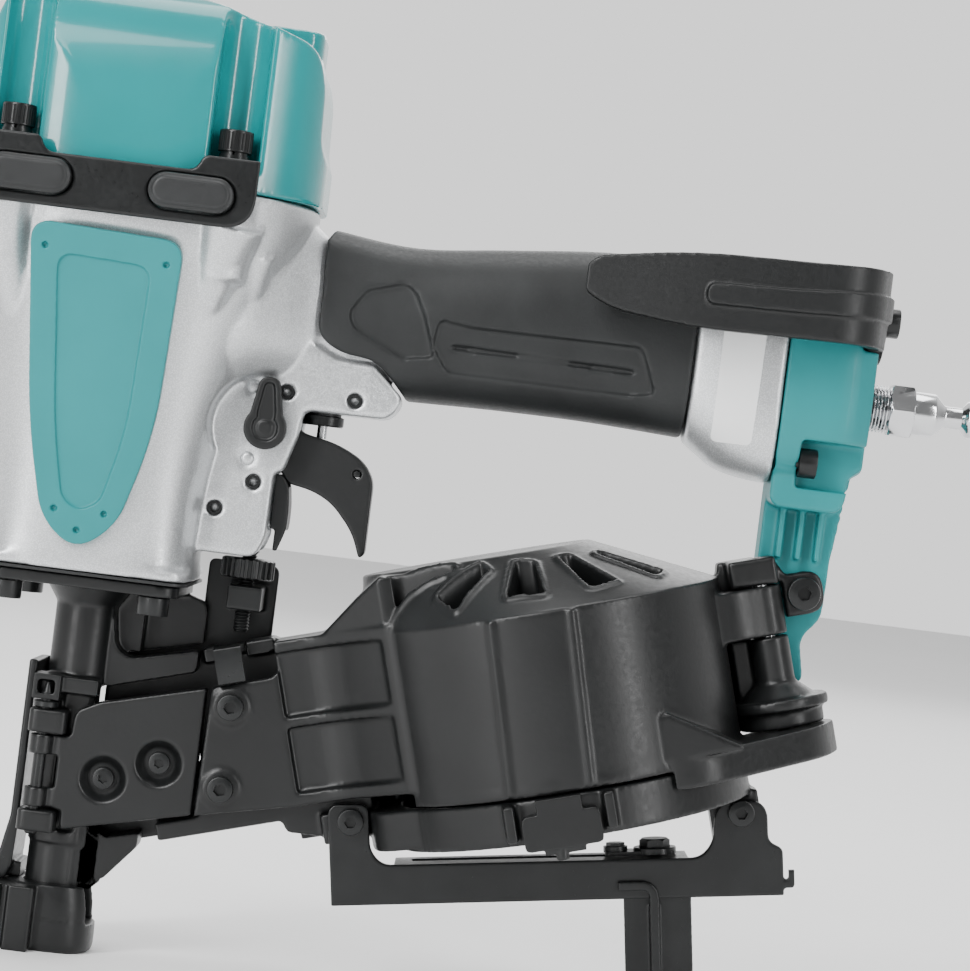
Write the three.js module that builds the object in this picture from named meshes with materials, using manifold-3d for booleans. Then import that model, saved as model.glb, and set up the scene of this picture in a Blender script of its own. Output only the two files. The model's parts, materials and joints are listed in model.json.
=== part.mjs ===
// A pneumatic coil roofing nailer, in millimetres, standing on its nose with +Z up.
// The origin is where the drive axis leaves the contact foot. +X runs back along the handle
// and -Y is the loading side, where the door and the magazine cap open.
import * as THREE from "three";
import { mergeVertices } from "three/addons/utils/BufferGeometryUtils.js";
import Module from "manifold-3d";

const wasm = await Module();
wasm.setup();

// ---------------------------------------------------------------- driving dimensions
const GAP = 0.3; // running and resting clearance between separate pieces
const CAP = { base: 214, top: 267.5, front: -45, back: 52.5, halfWidth: 44.5 };
const BODY_BASE = 107; // underside of the housing's flange
const BARREL_X = 3; // the head's outline lies this far behind the drive axis at the top
const CAP_BOLT = { front: -30.5, back: 28.5, y: 37, seat: 222.4, head: 4.6, shank: 2.7 };
const GUARD = { y: 46.2, thick: 2, low: 203.4, dip: 217.8, high: 222.1, padZ: 211.4, padR: 5.1 };
const PADS = [{ x: -24.3, half: 11.8 }, { x: 19.3, half: 11.8 }];
const NOSE_BOLT = { x: 20.3, y: 22, head: 4.4, shank: 2.4 };
const NOSE = { flangeTop: 105.6, flangeBase: 102.4, tube: 8.6, tip: 8, base: 9, bore: 5.2 };
const CYLINDER = { inner: 20.8, outer: 24, base: 118, top: 202 };
const HANDLE_Z = 187.5; // height of the handle's centreline
const PLUG_Z = 179;
const MODE = { x: 44.5, z: 152, shaft: 3 }; // the mode lever's shaft is also the trigger's pivot
const STEM_X = 59.4;
const WHEEL = { x: 43.4, y: 2, r: 7.6, z0: 109.4, z1: 115.2 };
const DOOR_HINGE = { x: -6.5, y: -13, pin: 1.7 };
const FEED_TILT = THREE.MathUtils.degToRad(16.3); // the magazine rises towards the back
const RAIL_TILT = THREE.MathUtils.degToRad(8.5);
const DRUM = { u: 153, v: -4, r: 50, wall: 2.6, floor: 12, seam: 24.2, rim: 72.6, crown: 88.6 };
const CROWN = { u: 137, ru: 32, rv: 25 }; // the flat top inside the sloping shoulder
const DRUM_HINGE = { u: 214.3, v: -7, pin: 2, knuckle: 5.5, disc: 13.7 };
const ARM = { near: 0.5, far: 13 }; // the end cap's arm, across
const EXHAUST = { x: -22, r: 19, base: 262, top: 273 };
const END_SCREW = { y: -12, z: 161 };
const HOOK = { z: 203.3, thick: 4.8, from: 127.4, back: 210, side: 32.6, eye: 12.3 };
const DOOR_SCREWS = [[11.6, 49.9], [26.5, 56]];
const CAP_SCREWS = [[63.6, 58.7], [57.2, 36.8]];
const LATCH = { v: 1, w: 73.5 };
const EAR_SCREW = { u: 226.2, w: 63.9 }; // the same screw in the magazine's frame, and in the tool's
const BRACKET_SCREW = {
  x: EAR_SCREW.u * Math.cos(FEED_TILT) - EAR_SCREW.w * Math.sin(FEED_TILT),
  z: EAR_SCREW.u * Math.sin(FEED_TILT) + EAR_SCREW.w * Math.cos(FEED_TILT),
};
const RAIL = { a0: 81.5, a1: 207, low: 11, high: 22 };
const RAIL_SCREWS = [[87.5, 34.4], [195.5, 34.2]];
const FOOT = { a: 172, half: 9.4 };

// ---------------------------------------------------------------- materials
const paint = (color, roughness, metalness) =>
  new THREE.MeshStandardMaterial({ color, roughness, metalness });
const castSilver = paint(0xc4c6c9, 0.42, 0.75);
const tealPaint = paint(0x218b90, 0.2, 0.0);
const tealPlastic = paint(0x2a9096, 0.45, 0.0);
const gripRubber = paint(0x2c2e2f, 0.85, 0.0);
const blackPlastic = paint(0x1d1f20, 0.55, 0.0);
const blackSteel = paint(0x232526, 0.4, 0.6);
const brightSteel = paint(0xb9bbbd, 0.22, 1.0);
const bumperRubber = paint(0x303233, 0.75, 0.0);
const pistonAlloy = paint(0xa9abad, 0.35, 0.9);

// ---------------------------------------------------------------- solid helpers
const Y_AXIS = new THREE.Vector3(0, 1, 0);

// A geometry as a manifold solid with its faces pointing out.
function solid(geometry) {
  const bare = geometry.clone();
  for (const name of Object.keys(bare.attributes)) if (name !== "position") bare.deleteAttribute(name);
  const merged = mergeVertices(bare, 1e-4);
  const build = (triVerts) =>
    new wasm.Manifold(
      new wasm.Mesh({ numProp: 3, vertProperties: merged.attributes.position.array, triVerts }),
    );
  const made = build(new Uint32Array(merged.index.array));
  return made.volume() < 0 ? build(new Uint32Array(merged.index.array).reverse()) : made;
}

function geometryOf(manifold) {
  const { vertProperties, triVerts } = manifold.getMesh();
  const geometry = new THREE.BufferGeometry();
  geometry.setAttribute("position", new THREE.BufferAttribute(vertProperties, 3));
  geometry.setIndex(new THREE.BufferAttribute(triVerts, 1));
  geometry.computeVertexNormals();
  return geometry;
}

const join = (first, ...rest) => rest.reduce((sum, next) => sum.add(next), first);
const cut = (first, ...rest) => rest.reduce((left, next) => left.subtract(next), first);

function box(x0, x1, y0, y1, z0, z1) {
  const geometry = new THREE.BoxGeometry(x1 - x0, y1 - y0, z1 - z0);
  return solid(geometry.translate((x0 + x1) / 2, (y0 + y1) / 2, (z0 + z1) / 2));
}

// A round bar from one point to another; top sets the far end's radius.
function bar(from, to, radius, { sides = 12, top = radius } = {}) {
  const [a, b] = [new THREE.Vector3(...from), new THREE.Vector3(...to)];
  const geometry = new THREE.CylinderGeometry(top, radius, a.distanceTo(b), sides);
  const turn = new THREE.Quaternion().setFromUnitVectors(Y_AXIS, b.clone().sub(a).normalize());
  geometry.applyQuaternion(turn);
  const middle = a.add(b).multiplyScalar(0.5);
  return solid(geometry.translate(middle.x, middle.y, middle.z));
}

const post = (x, y, z0, z1, radius, options) => bar([x, y, z0], [x, y, z1], radius, options);
const cross = (x, z, y0, y1, radius, options) => bar([x, y0, z], [x, y1, z], radius, options);

// A closed polygon with its corners rounded. A point may carry its own radius as a third number.
function outline(points, radius = 0) {
  const shape = new THREE.Shape();
  const at = (i) => new THREE.Vector2(...points[(i + points.length) % points.length]);
  points.forEach((point, i) => {
    const [corner, before, after] = [at(i), at(i - 1), at(i + 1)];
    const r = Math.min(
      point[2] ?? radius, corner.distanceTo(before) * 0.49, corner.distanceTo(after) * 0.49,
    );
    const start = corner.clone().add(before.sub(corner).setLength(r));
    const end = corner.clone().add(after.sub(corner).setLength(r));
    if (i === 0) shape.moveTo(start.x, start.y);
    else shape.lineTo(start.x, start.y);
    if (r > 0) shape.quadraticCurveTo(corner.x, corner.y, end.x, end.y);
  });
  shape.closePath();
  return shape;
}

// A strip of even thickness along an open path with rounded corners.
function ribbon(points, thickness, steps = 4) {
  const path = new THREE.CurvePath();
  const at = (i) => new THREE.Vector2(...points[i]);
  let from = at(0);
  for (let i = 1; i + 1 < points.length; i++) {
    const [corner, before, after] = [at(i), at(i - 1), at(i + 1)];
    const r = Math.min(points[i][2] ?? 0, corner.distanceTo(before) * 0.49, corner.distanceTo(after) * 0.49);
    const start = corner.clone().add(before.sub(corner).setLength(r));
    const end = corner.clone().add(after.sub(corner).setLength(r));
    path.add(new THREE.LineCurve(from, start));
    path.add(new THREE.QuadraticBezierCurve(start, corner, end));
    from = end;
  }
  path.add(new THREE.LineCurve(from, at(points.length - 1)));
  const middle = path.getPoints(steps);
  const edge = (offset) => middle.map((point, i) => {
    const [a, b] = [middle[Math.max(i - 1, 0)], middle[Math.min(i + 1, middle.length - 1)]];
    const along = b.clone().sub(a).normalize();
    return new THREE.Vector2(point.x - along.y * offset, point.y + along.x * offset);
  });
  return new THREE.Shape([...edge(thickness / 2), ...edge(-thickness / 2).reverse()]);
}

function extruded(shape, depth, bevel, curveSegments) {
  return new THREE.ExtrudeGeometry(shape, {
    depth: depth - 2 * bevel, curveSegments, bevelEnabled: bevel > 0, bevelSegments: 1,
    bevelSize: bevel, bevelThickness: bevel, bevelOffset: -bevel,
  }).translate(0, 0, bevel);
}

// An outline in X and Z, between two Y values.
function plate(shape, y0, y1, { bevel = 0, steps = 2 } = {}) {
  return solid(extruded(shape, y1 - y0, bevel, steps).rotateX(Math.PI / 2).translate(0, y1, 0));
}

// An outline in X and Y, between two heights.
function slab(shape, z0, z1, { bevel = 0, steps = 2 } = {}) {
  return solid(extruded(shape, z1 - z0, bevel, steps).translate(0, 0, z0));
}

// An outline in Y and Z, between two X values.
function profile(shape, x0, x1, { bevel = 0, steps = 2 } = {}) {
  const geometry = extruded(shape, x1 - x0, bevel, steps);
  return solid(geometry.rotateX(Math.PI / 2).rotateZ(Math.PI / 2).translate(x0, 0, 0));
}

// A slot with round ends, as long as 2 * half over all.
function slotShape(x, z, half, r) {
  const shape = new THREE.Shape();
  shape.absarc(x + half - r, z, r, -Math.PI / 2, Math.PI / 2);
  shape.absarc(x - half + r, z, r, Math.PI / 2, (3 * Math.PI) / 2);
  shape.closePath();
  return shape;
}

// A profile of [radius, height] pairs turned about a vertical axis.
function turned(points, x = 0, y = 0, sides = 20) {
  const geometry = new THREE.LatheGeometry(points.map((p) => new THREE.Vector2(...p)), sides);
  return solid(geometry.rotateX(Math.PI / 2).translate(x, y, 0));
}

// A skin through rings that all hold the same number of points, closed flat at both ends.
function loft(rings) {
  const count = rings[0].length;
  const corners = rings.flat(2);
  const faces = [];
  for (let k = 0; k + 1 < rings.length; k++)
    for (let i = 0; i < count; i++) {
      const [a, b] = [k * count + i, k * count + ((i + 1) % count)];
      faces.push(a, b, b + count, a, b + count, a + count);
    }
  const last = (rings.length - 1) * count;
  for (let i = 1; i + 1 < count; i++) faces.push(0, i + 1, i, last, last + i, last + i + 1);
  const geometry = new THREE.BufferGeometry();
  geometry.setAttribute("position", new THREE.BufferAttribute(new Float32Array(corners), 3));
  return solid(geometry.setIndex(faces));
}

// Points of a rounded rectangle: squareness 2 is an ellipse, and more is squarer.
function oval(halfA, halfB, squareness, count) {
  return Array.from({ length: count }, (_, i) => {
    const t = (2 * Math.PI * (i + 0.5)) / count;
    const bend = (v) => Math.sign(v) * Math.abs(v) ** (2 / squareness);
    return [halfA * bend(Math.cos(t)), halfB * bend(Math.sin(t))];
  });
}

const ringAt = (z, cx, hx, hy, squareness, count = 24) =>
  oval(hx, hy, squareness, count).map(([a, b]) => [cx + a, b, z]);
const ringAlong = (x, cz, hz, hy, squareness = 3, count = 18, cy = 0) =>
  oval(hy, hz, squareness, count).map(([a, b]) => [x, cy + a, cz + b]);

// ---------------------------------------------------------------- groups
const nailer = new THREE.Group();
const magazine = new THREE.Group(); // X is the feed direction u, Y is v, Z is the coil's axis w
magazine.rotation.y = -FEED_TILT;
const guide = new THREE.Group();
guide.rotation.y = -RAIL_TILT;
nailer.add(magazine, guide);

function add(name, body, material, group = nailer) {
  const mesh = new THREE.Mesh(geometryOf(body), material);
  mesh.name = name;
  group.add(mesh);
}

// ---------------------------------------------------------------- head
// The badge leans with the barrel's flank, so it is drawn upright and then tilted.
function badgeBody(side, depth, growth, body) {
  const geometry = geometryOf(body);
  geometry.translate(0, -44, 0).scale(growth, growth, 1).translate(0, 44, depth);
  geometry.rotateX(Math.PI / 2).rotateZ(Math.PI).scale(-1, 1, 1);
  geometry.rotateX(-THREE.MathUtils.degToRad(7.5)).translate(-1, 30.6, 113);
  return mirrored(solid(geometry), side);
}

const badgeFace = () => outline([
  [-21.5, 88, 6], [20, 86.5, 6], [17.5, 34, 30], [10, 8, 12], [-0.5, 0, 12], [-10.5, 8, 12], [-16.5, 34, 30],
]);

function badge(side) {
  const rim = solid(extruded(badgeFace(), 4.4, 0, 3));
  const pocket = solid(extruded(outline([
    [-13.5, 80, 4], [12, 79, 4], [10, 34, 20], [5, 14, 5], [-5.5, 14, 5], [-9.5, 34, 20],
  ]), 3, 0, 2).translate(0, 0, 3.4));
  return badgeBody(side, GAP, 1, cut(rim, pocket));
}
const badgeRoom = (side) => badgeBody(side, 0, 1.016, solid(extruded(badgeFace(), 40, 0, 3)));

function housing() {
  const barrel = loft([
    ringAt(BODY_BASE, 0, 29.5, 31, 4.5), ringAt(118, 0, 29, 31.5, 4), ringAt(140, 0, 31, 34, 3.4),
    ringAt(165, 0.5, 36, 38, 3), ringAt(190, 2, 42.5, 41.5, 2.8), ringAt(203, BARREL_X, 46.5, 43.5, 2.8),
    ringAt(CAP.base - GAP, BARREL_X + 0.5, 48, 44, 2.8),
  ]);
  const handle = loft([
    ringAlong(30, HANDLE_Z, 19, 13), ringAlong(62, HANDLE_Z, 17.5, 12.6),
    ringAlong(150, 188.5, 19, 12.6), ringAlong(159.8, 188.2, 19.2, 12.7), ringAlong(160, 187, 24, 16),
    ringAlong(170, 184.5, 28, 18.6), ringAlong(185.2, 183, 28.8, 18.6),
  ]);
  const web = plate(outline([
    [15, 116], [46, 116, 6], [48, 122], [48.2, 140.2, 1], [50.6, 140.8], [53.6, 151], [54.4, 158.3, 2],
    [78, 158.4, 3], [81.6, 164.5, 3], [72, 173], [62, 173.4], [52, 178, 6], [46, 192], [15, 200],
  ]), -14, 14, { bevel: 1.2 });
  const air = bar([20, 0, HANDLE_Z], [190, 0, HANDLE_Z], 9.5);
  const triggerSlot = box(36, 60, -6.6, 6.6, 117, 157.8);
  const wheelPocket = join(box(32, 60, -7, 11, 110, 124.4), box(32, 60, -9, 20, 110, 117.4));
  const leverRoom = cross(MODE.x, MODE.z, -60, -14, 15.4, { sides: 24 });
  const linkPocket = box(38, 60, -4, 4, 123, 146);
  const shaftHole = cross(MODE.x, MODE.z, -20, 20, MODE.shaft + GAP);
  const valveSeat = post(STEM_X, 0, 150, 181, 5.2);
  const lowerBore = post(0, 0, 100, 161, CYLINDER.outer + GAP, { sides: 24 });
  const chamber = post(0, 0, 160, 220, 31, { sides: 24 });
  const boltHoles = [CAP_BOLT.front, CAP_BOLT.back].flatMap((x) =>
    [-1, 1].map((side) => post(x, side * CAP_BOLT.y, 196, 216, CAP_BOLT.shank + GAP, { sides: 8 })));
  const noseHoles = [-1, 1].flatMap((sx) => [-1, 1].map((sy) =>
    post(sx * NOSE_BOLT.x, sy * NOSE_BOLT.y, 100, 115, NOSE_BOLT.shank + GAP, { sides: 8 })));
  return cut(
    join(barrel, handle, web), chamber, lowerBore, air, triggerSlot, wheelPocket, linkPocket, leverRoom,
    shaftHole, valveSeat, badgeRoom(-1), badgeRoom(1), ...boltHoles, ...noseHoles,
  );
}
add("housing", housing(), castSilver);

// The cap is the part common to its plan, side and end outlines, with the bolts' flutes cut out.
function topCap() {
  const { base, top, front, back, halfWidth: w } = CAP;
  const plan = slab(outline([
    [front, -w * 0.72, 14], [-20, -w, 16], [22, -w, 16], [back, -w * 0.62, 14],
    [back, w * 0.62, 14], [22, w, 16], [-20, w, 16], [front, w * 0.72, 14],
  ]), base, top, { steps: 6 });
  const side = plate(outline([
    [front, base], [-44.5, 222, 3], [-40.5, 255, 8], [-35, top - 3.5, 8], [-12, top, 20],
    [12, top - 0.5, 20], [32, top - 6.5, 20], [47, top - 11, 6], [50, top - 20, 8], [50.5, 231, 3],
    [back, 226], [back, base],
  ]), -w - 1, w + 1, { steps: 3 });
  const end = profile(outline([
    [-w - 1, base], [-w + 1.5, 250, 12], [-w * 0.75, top - 1, 14], [w * 0.75, top - 1, 14],
    [w - 1.5, 250, 12], [w + 1, base],
  ]), front - 1, back + 1, { steps: 4 });
  const bossPlan = outline([[30, -15, 6], [47.4, -13, 6], [47.4, 13, 6], [30, 15, 6]]);
  const boss = slab(bossPlan, 240, top - 4.4, { bevel: 1.5 });
  const fluteFloor = GUARD.high - GUARD.thick - GAP;
  const flutes = [CAP_BOLT.front, CAP_BOLT.back].flatMap((x) => {
    const round = post(x, CAP_BOLT.y, fluteFloor, top + 2, 6.6, { sides: 18 });
    const open = box(x - 6.6, x + 6.6, CAP_BOLT.y, 60, fluteFloor, top + 2);
    return [-1, 1].map((side) => mirrored(join(round, open), side));
  });
  const holes = [CAP_BOLT.front, CAP_BOLT.back].flatMap((x) =>
    [-1, 1].map((side) => post(x, side * CAP_BOLT.y, 210, 224, CAP_BOLT.shank + GAP, { sides: 8 })));
  const valveRoom = post(0, 0, base - 2, 232, 30.2, { sides: 24 });
  const exhaustWay = post(EXHAUST.x, 0, 225, top + 2, 11.4);
  const coverSeat = post(EXHAUST.x, 0, EXHAUST.base - GAP, top + 2, EXHAUST.r + 0.5, { sides: 16 });
  const shell = join(plan.intersect(side).intersect(end), boss);
  return cut(shell, ...flutes, ...holes, valveRoom, exhaustWay, coverSeat);
}
add("top_cap", topCap(), tealPaint);

function exhaustCover() {
  const { x, r, base, top } = EXHAUST;
  const shell = turned([
    [8.6, 252], [11, 252], [11, base], [r, base], [r, top - 3], [r - 3, top],
    [0, top], [0, top - 2.4], [8.6, top - 2.4], [8.6, 252],
  ], x, 0);
  const room = post(x, 0, base + 1.2, top - 2.3, 15.5);
  const vents = [-24, -8, 8, 24].map((angle) => {
    const way = new THREE.BoxGeometry(24, 3, 4.4).translate(-16, 0, base + 4.4);
    return solid(way.rotateZ(THREE.MathUtils.degToRad(angle)).translate(x, 0, 0));
  });
  return cut(shell, ...vents, room);
}
add("exhaust_cover", exhaustCover(), blackPlastic);

function capBolt(x, y) {
  const { seat, head, shank } = CAP_BOLT;
  const washers = post(x, y, seat, seat + 2, head - 0.5);
  const top = post(x, y, seat + 2, seat + 8, head);
  const socket = post(x, y, seat + 5, seat + 9, 2.3, { sides: 6 });
  return cut(join(washers, top, post(x, y, 198, seat + 2, shank, { sides: 8 })), socket);
}
let boltNumber = 0;
for (const x of [CAP_BOLT.front, CAP_BOLT.back])
  for (const side of [-1, 1]) add(`cap_bolt_${++boltNumber}`, capBolt(x, side * CAP_BOLT.y), blackSteel);

// Steel guard with two pad windows and an ear folded in under each bolt head.
function guardPlate(side) {
  const { y, thick, low, dip, high } = GUARD;
  const face = plate(outline([
    [-39, low, 7], [36.6, low, 9], [36.6, high], [21.5, high, 1.5], [19.5, dip, 3],
    [-20.5, dip, 3], [-22.5, high, 1.5], [-39, high],
  ]), y, y + thick, { steps: 4 });
  const ears = [CAP_BOLT.front, CAP_BOLT.back].map((x) => join(
    box(x - 6.2, x + 6.2, CAP_BOLT.y, y + 1, high - thick, high), post(x, CAP_BOLT.y, high - thick, high, 6.2),
  ));
  const holes = [CAP_BOLT.front, CAP_BOLT.back].map((x) => post(x, CAP_BOLT.y, 215, 228, 3.1, { sides: 8 }));
  const windows = PADS.map(({ x, half }) =>
    plate(slotShape(x, GUARD.padZ, half, GUARD.padR), y - 3, y + 5, { steps: 3 }));
  return mirrored(cut(join(face, ...ears), ...holes, ...windows), side);
}

// Both pads stand on one strip behind the guard.
function guardPads(side) {
  const { y, padZ, padR } = GUARD;
  const raised = PADS.map(({ x, half }) =>
    plate(slotShape(x, padZ, half - GAP, padR - GAP), y - 1, y + 5, { bevel: 1.2, steps: 3 }));
  const strip = box(-37.5, 34.5, y - 1.6, y - GAP, padZ - 5.6, padZ + 5.4);
  return mirrored(join(strip, ...raised), side);
}

// A solid made on the +Y side, kept there or reflected to -Y.
function mirrored(body, side) {
  return side > 0 ? body : solid(geometryOf(body).scale(1, -1, 1));
}
for (const [label, side] of [["left", -1], ["right", 1]]) {
  add(`badge_${label}`, badge(side), tealPlastic);
  add(`guard_plate_${label}`, guardPlate(side), blackSteel);
  add(`guard_pads_${label}`, guardPads(side), bumperRubber);
}

// ---------------------------------------------------------------- drive parts inside the head
function cylinderSleeve() {
  const { inner, outer, base, top } = CYLINDER;
  return turned([
    [inner, base], [outer, base], [outer, top - 5], [27.5, top - 5], [27.5, top], [inner, top], [inner, base],
  ], 0, 0, 24);
}
add("cylinder_sleeve", cylinderSleeve(), pistonAlloy);
add("piston_bumper", turned([
  [5.5, 108], [23.4, 108], [23.4, 113], [20.2, 117], [20.2, 121], [8, 121], [5.5, 118], [5.5, 108],
]), bumperRubber);

function pistonDriver() {
  const piston = turned([[0, 184], [20.4, 184], [20.4, 196], [12, 198], [0, 198]]);
  return join(piston, post(0, 0, 66, 185, 3.6, { sides: 16 }));
}
add("piston_driver", pistonDriver(), pistonAlloy);
add("head_valve", turned([
  [12, 203], [29.6, 203], [29.6, 214], [22, 214], [22, 224], [12, 224], [12, 203],
]), blackPlastic);

// ---------------------------------------------------------------- handle
const gripRings = (shrink) => [
  ringAlong(46, 187.5, 24 - shrink, 16 - shrink, 2.8), ringAlong(58, 187, 22.6 - shrink, 15.6 - shrink, 2.8),
  ringAlong(80, 186, 21.6 - shrink, 16 - shrink, 2.6), ringAlong(105, 187.6, 22.6 - shrink, 17 - shrink, 2.5),
  ringAlong(132, 189, 24 - shrink, 17 - shrink, 2.6), ringAlong(160, 188.8, 25 - shrink, 17.4 - shrink, 2.8),
];
function handleGrip() {
  const outer = loft(gripRings(0));
  const inner = loft([
    ringAlong(40, HANDLE_Z, 19 + GAP, 13 + GAP), ringAlong(62, HANDLE_Z, 17.5 + GAP, 12.6 + GAP),
    ringAlong(150, 188.5, 19 + GAP, 12.6 + GAP), ringAlong(161, 188.3, 19.4 + GAP, 12.9 + GAP),
  ]);
  const side = plate(outline([
    [55.5, 190, 10], [54.8, 206], [57.6, 211.5, 2], [64, 214], [158.6, 216], [159.6, 195], [159.4, 163],
    [82.6, 163], [81.6, 165, 2], [75.4, 171.8, 3], [71, 174.6, 3], [62, 175.4, 5], [55.4, 179.6, 5],
  ]), -30, 30);
  return cut(outer.intersect(side), inner);
}
const barrelClear = loft([
  ringAt(150, 0.5, 36.6, 38.6, 3), ringAt(165, 0.5, 36.5, 38.5, 3), ringAt(190, 2, 43, 42, 2.8),
  ringAt(203, BARREL_X, 47, 44, 2.8), ringAt(220, BARREL_X + 0.7, 49, 45, 2.8),
]);
add("handle_grip", cut(handleGrip(), barrelClear), gripRubber);

function endCap() {
  const head = loft([
    ringAlong(185.6, 183, 28.8, 18.6), ringAlong(204, 183.5, 27.6, 17.6), ringAlong(210.8, 184, 24, 13),
  ]);
  const rear = HOOK.back - HOOK.thick / 2 - GAP;
  const hookSeat = join(
    bar([rear, 0, HOOK.z], [220, 0, HOOK.z], HOOK.eye + 1.6, { sides: 24 }),
    box(rear - 1.6, 220, -30, -8, HOOK.z - 9.4, 230), box(rear, 220, -9, 9, HOOK.z - 9.4, 230),
    box(rear - 1.6, 220, 4, 30, HOOK.z - 14.6, 230),
  );
  const arm = plate(outline([
    [185.6, 165], [185.6, 128, 4], [188, 99.5, 3], [202.6, 99.5, 3], [200.2, 112, 3], [205.6, 118.6, 3],
    [205.8, 134], [209, 160, 4], [210, 170],
  ]), ARM.near, ARM.far);
  const shoulder = plate(outline([[185.6, 170], [185.6, 148, 4], [206, 148, 4], [209, 170]]), -12, ARM.far);
  const screwPocket = box(192.2, 214, -22, -7.4, 154, 167.4);
  const port = bar([190, 0, PLUG_Z], [214, 0, PLUG_Z], 6.9 + GAP, { sides: 16 });
  const airWay = bar([180, 0, 183], [204, 0, 183], 9);
  const hookHole = bar([196, 0, HOOK.z], [214, 0, HOOK.z], 2.7);
  const bracketHole = cross(BRACKET_SCREW.x, BRACKET_SCREW.z, -2, 16, 2.3, { sides: 8 });
  const screwHole = bar([180, END_SCREW.y, END_SCREW.z], [212, END_SCREW.y, END_SCREW.z], 2.3, { sides: 8 });
  return cut(join(head, arm, shoulder), hookSeat, screwPocket, port, airWay, hookHole, bracketHole, screwHole);
}
add("end_cap", endCap(), tealPlastic);

function endCapScrew() {
  const { y, z } = END_SCREW;
  const body = join(bar([192.4, y, z], [197.4, y, z], 4.1), bar([187, y, z], [193, y, z], 2, { sides: 8 }));
  return cut(body, bar([195.4, y, z], [199, y, z], 2, { sides: 6 }));
}
add("end_cap_screw", endCapScrew(), blackSteel);

// Threaded neck, hexagon and quick-release nose of the air plug.
function airPlug() {
  const along = (x0, x1, r0, r1 = r0, sides = 16) =>
    bar([x0, 0, PLUG_Z], [x1, 0, PLUG_Z], r0, { sides, top: r1 });
  return cut(
    join(
      along(200, 217, 6.7), along(216.8, 223.6, 8.1, 8.1, 6), along(223.4, 229.8, 6.1),
      along(229.7, 232.4, 6.1, 3.1), along(232.3, 237.4, 3.1), along(237.3, 239.2, 3.1, 5.2),
      along(239.1, 242, 5.2), along(241.9, 244.2, 5.2, 4),
    ),
    along(190, 250, 2.1, 2.1, 10),
  );
}
add("air_plug", airPlug(), brightSteel);

// Flat hook that swings round the end cap's bolt and runs forward beside the handle.
function beltHook() {
  const { z, thick, from, back, side, eye } = HOOK;
  const path = (out) => slab(ribbon([
    [from, -27.4 - out], [168, -side - out, 60], [204, -side - out, 26], [back + out, -14, 20], [back + out, 0],
  ], thick, 6), 180, 222);
  const tall = plate(outline([
    [from - 1, 200.4, 4], [135, 196, 10], [158, 193.4, 20], [217, 194.6, 1], [217, 216.4, 1], [191, 215, 20],
    [156, 214.2, 20], [130, 210.2, 4], [from - 1, 207, 3],
  ]), -44, 14);
  const raised = plate(outline([
    [160, 200.4, 2.6], [183, 200.8], [217, 202.4], [217, 209.4], [183, 206.8], [160, 206, 2.6],
  ]), -44, -12);
  const disc = bar([back - thick / 2, 0, z], [back + thick / 2, 0, z], eye, { sides: 24 });
  const hole = bar([200, 0, z], [220, 0, z], 2.8);
  return cut(join(path(0).intersect(tall), path(1.3).intersect(raised), disc), hole);
}
add("belt_hook", beltHook(), blackPlastic);

function hookBolt() {
  const { z, thick, back } = HOOK;
  const face = back + thick / 2 + GAP;
  const along = (x0, x1, radius, sides) => bar([x0, 0, z], [x1, 0, z], radius, { sides });
  const head = along(face, face + 4.2, 4.2, 12);
  const shank = along(198, face + 1, 2.4, 8);
  return cut(join(head, shank), along(face + 2, face + 6, 2.1, 6));
}
add("hook_bolt", hookBolt(), blackSteel);

// ---------------------------------------------------------------- trigger group
function trigger() {
  const side = plate(outline([
    [39.2, 153, 3], [41, 157, 3], [49.6, 156.4, 3], [54, 152.2, 2], [64.5, 150.2, 6], [72, 146.4, 4],
    [75.6, 141.4, 3], [75.6, 120.4, 1], [74.2, 118.9, 1], [71.4, 126.2, 6], [64.9, 133.4, 8], [59.1, 136.3, 5],
    [51.4, 137.6, 2], [48.6, 142.4, 3], [42, 147, 4],
  ]), -6, 6);
  const inside = outline([[47, 160], [47, 150.6], [56, 145.8], [68.6, 141], [73, 141], [76, 160]]);
  const channel = plate(inside, -3.4, 3.4);
  const bore = cross(MODE.x, MODE.z, -10, 10, MODE.shaft + 0.35);
  const pinHole = cross(70.8, 142.4, -10, 10, 1.2, { sides: 8 });
  return cut(side, channel, bore, pinHole);
}
add("trigger", trigger(), blackPlastic);
add("trigger_lever", join(
  plate(outline([
    [72.4, 143.8, 1], [72.2, 141.6, 1], [68.6, 142, 1], [52, 148.4], [52, 149.8], [61, 147.4],
  ]), -2.6, 2.6),
  cross(70.8, 142.4, -5.8, 5.8, 0.9, { sides: 8 }),
), brightSteel);

function modeLever() {
  const knob = plate(outline([
    [MODE.x - 5.9, MODE.z - 3.5, 5], [MODE.x + 5.9, MODE.z - 3.5, 5], [MODE.x + 2.6, MODE.z + 14.2, 2.4],
    [MODE.x - 2.6, MODE.z + 14.2, 2.4],
  ]), -19.6, -14.3, { steps: 4 });
  const bottom = cross(MODE.x, MODE.z, -19.2, -14.3, 5.9, { sides: 16 });
  const shaft = cross(MODE.x, MODE.z, -15, 16.5, MODE.shaft);
  return join(knob, bottom, shaft, cross(MODE.x, MODE.z, 14.4, 16.5, 4.4));
}
add("mode_lever", modeLever(), blackPlastic);
add("valve_bushing", turned([
  [1.8, 154.7], [5.8, 154.7], [5.8, 157.7], [4.9, 157.7], [4.9, 176], [1.8, 176], [1.8, 154.7],
], STEM_X, 0, 16), blackSteel);
add("valve_stem", join(
  post(STEM_X, 0, 151.2, 179, 1.4, { sides: 8 }), post(STEM_X, 0, 177, 179, 3, { sides: 16 }),
), brightSteel);
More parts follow.
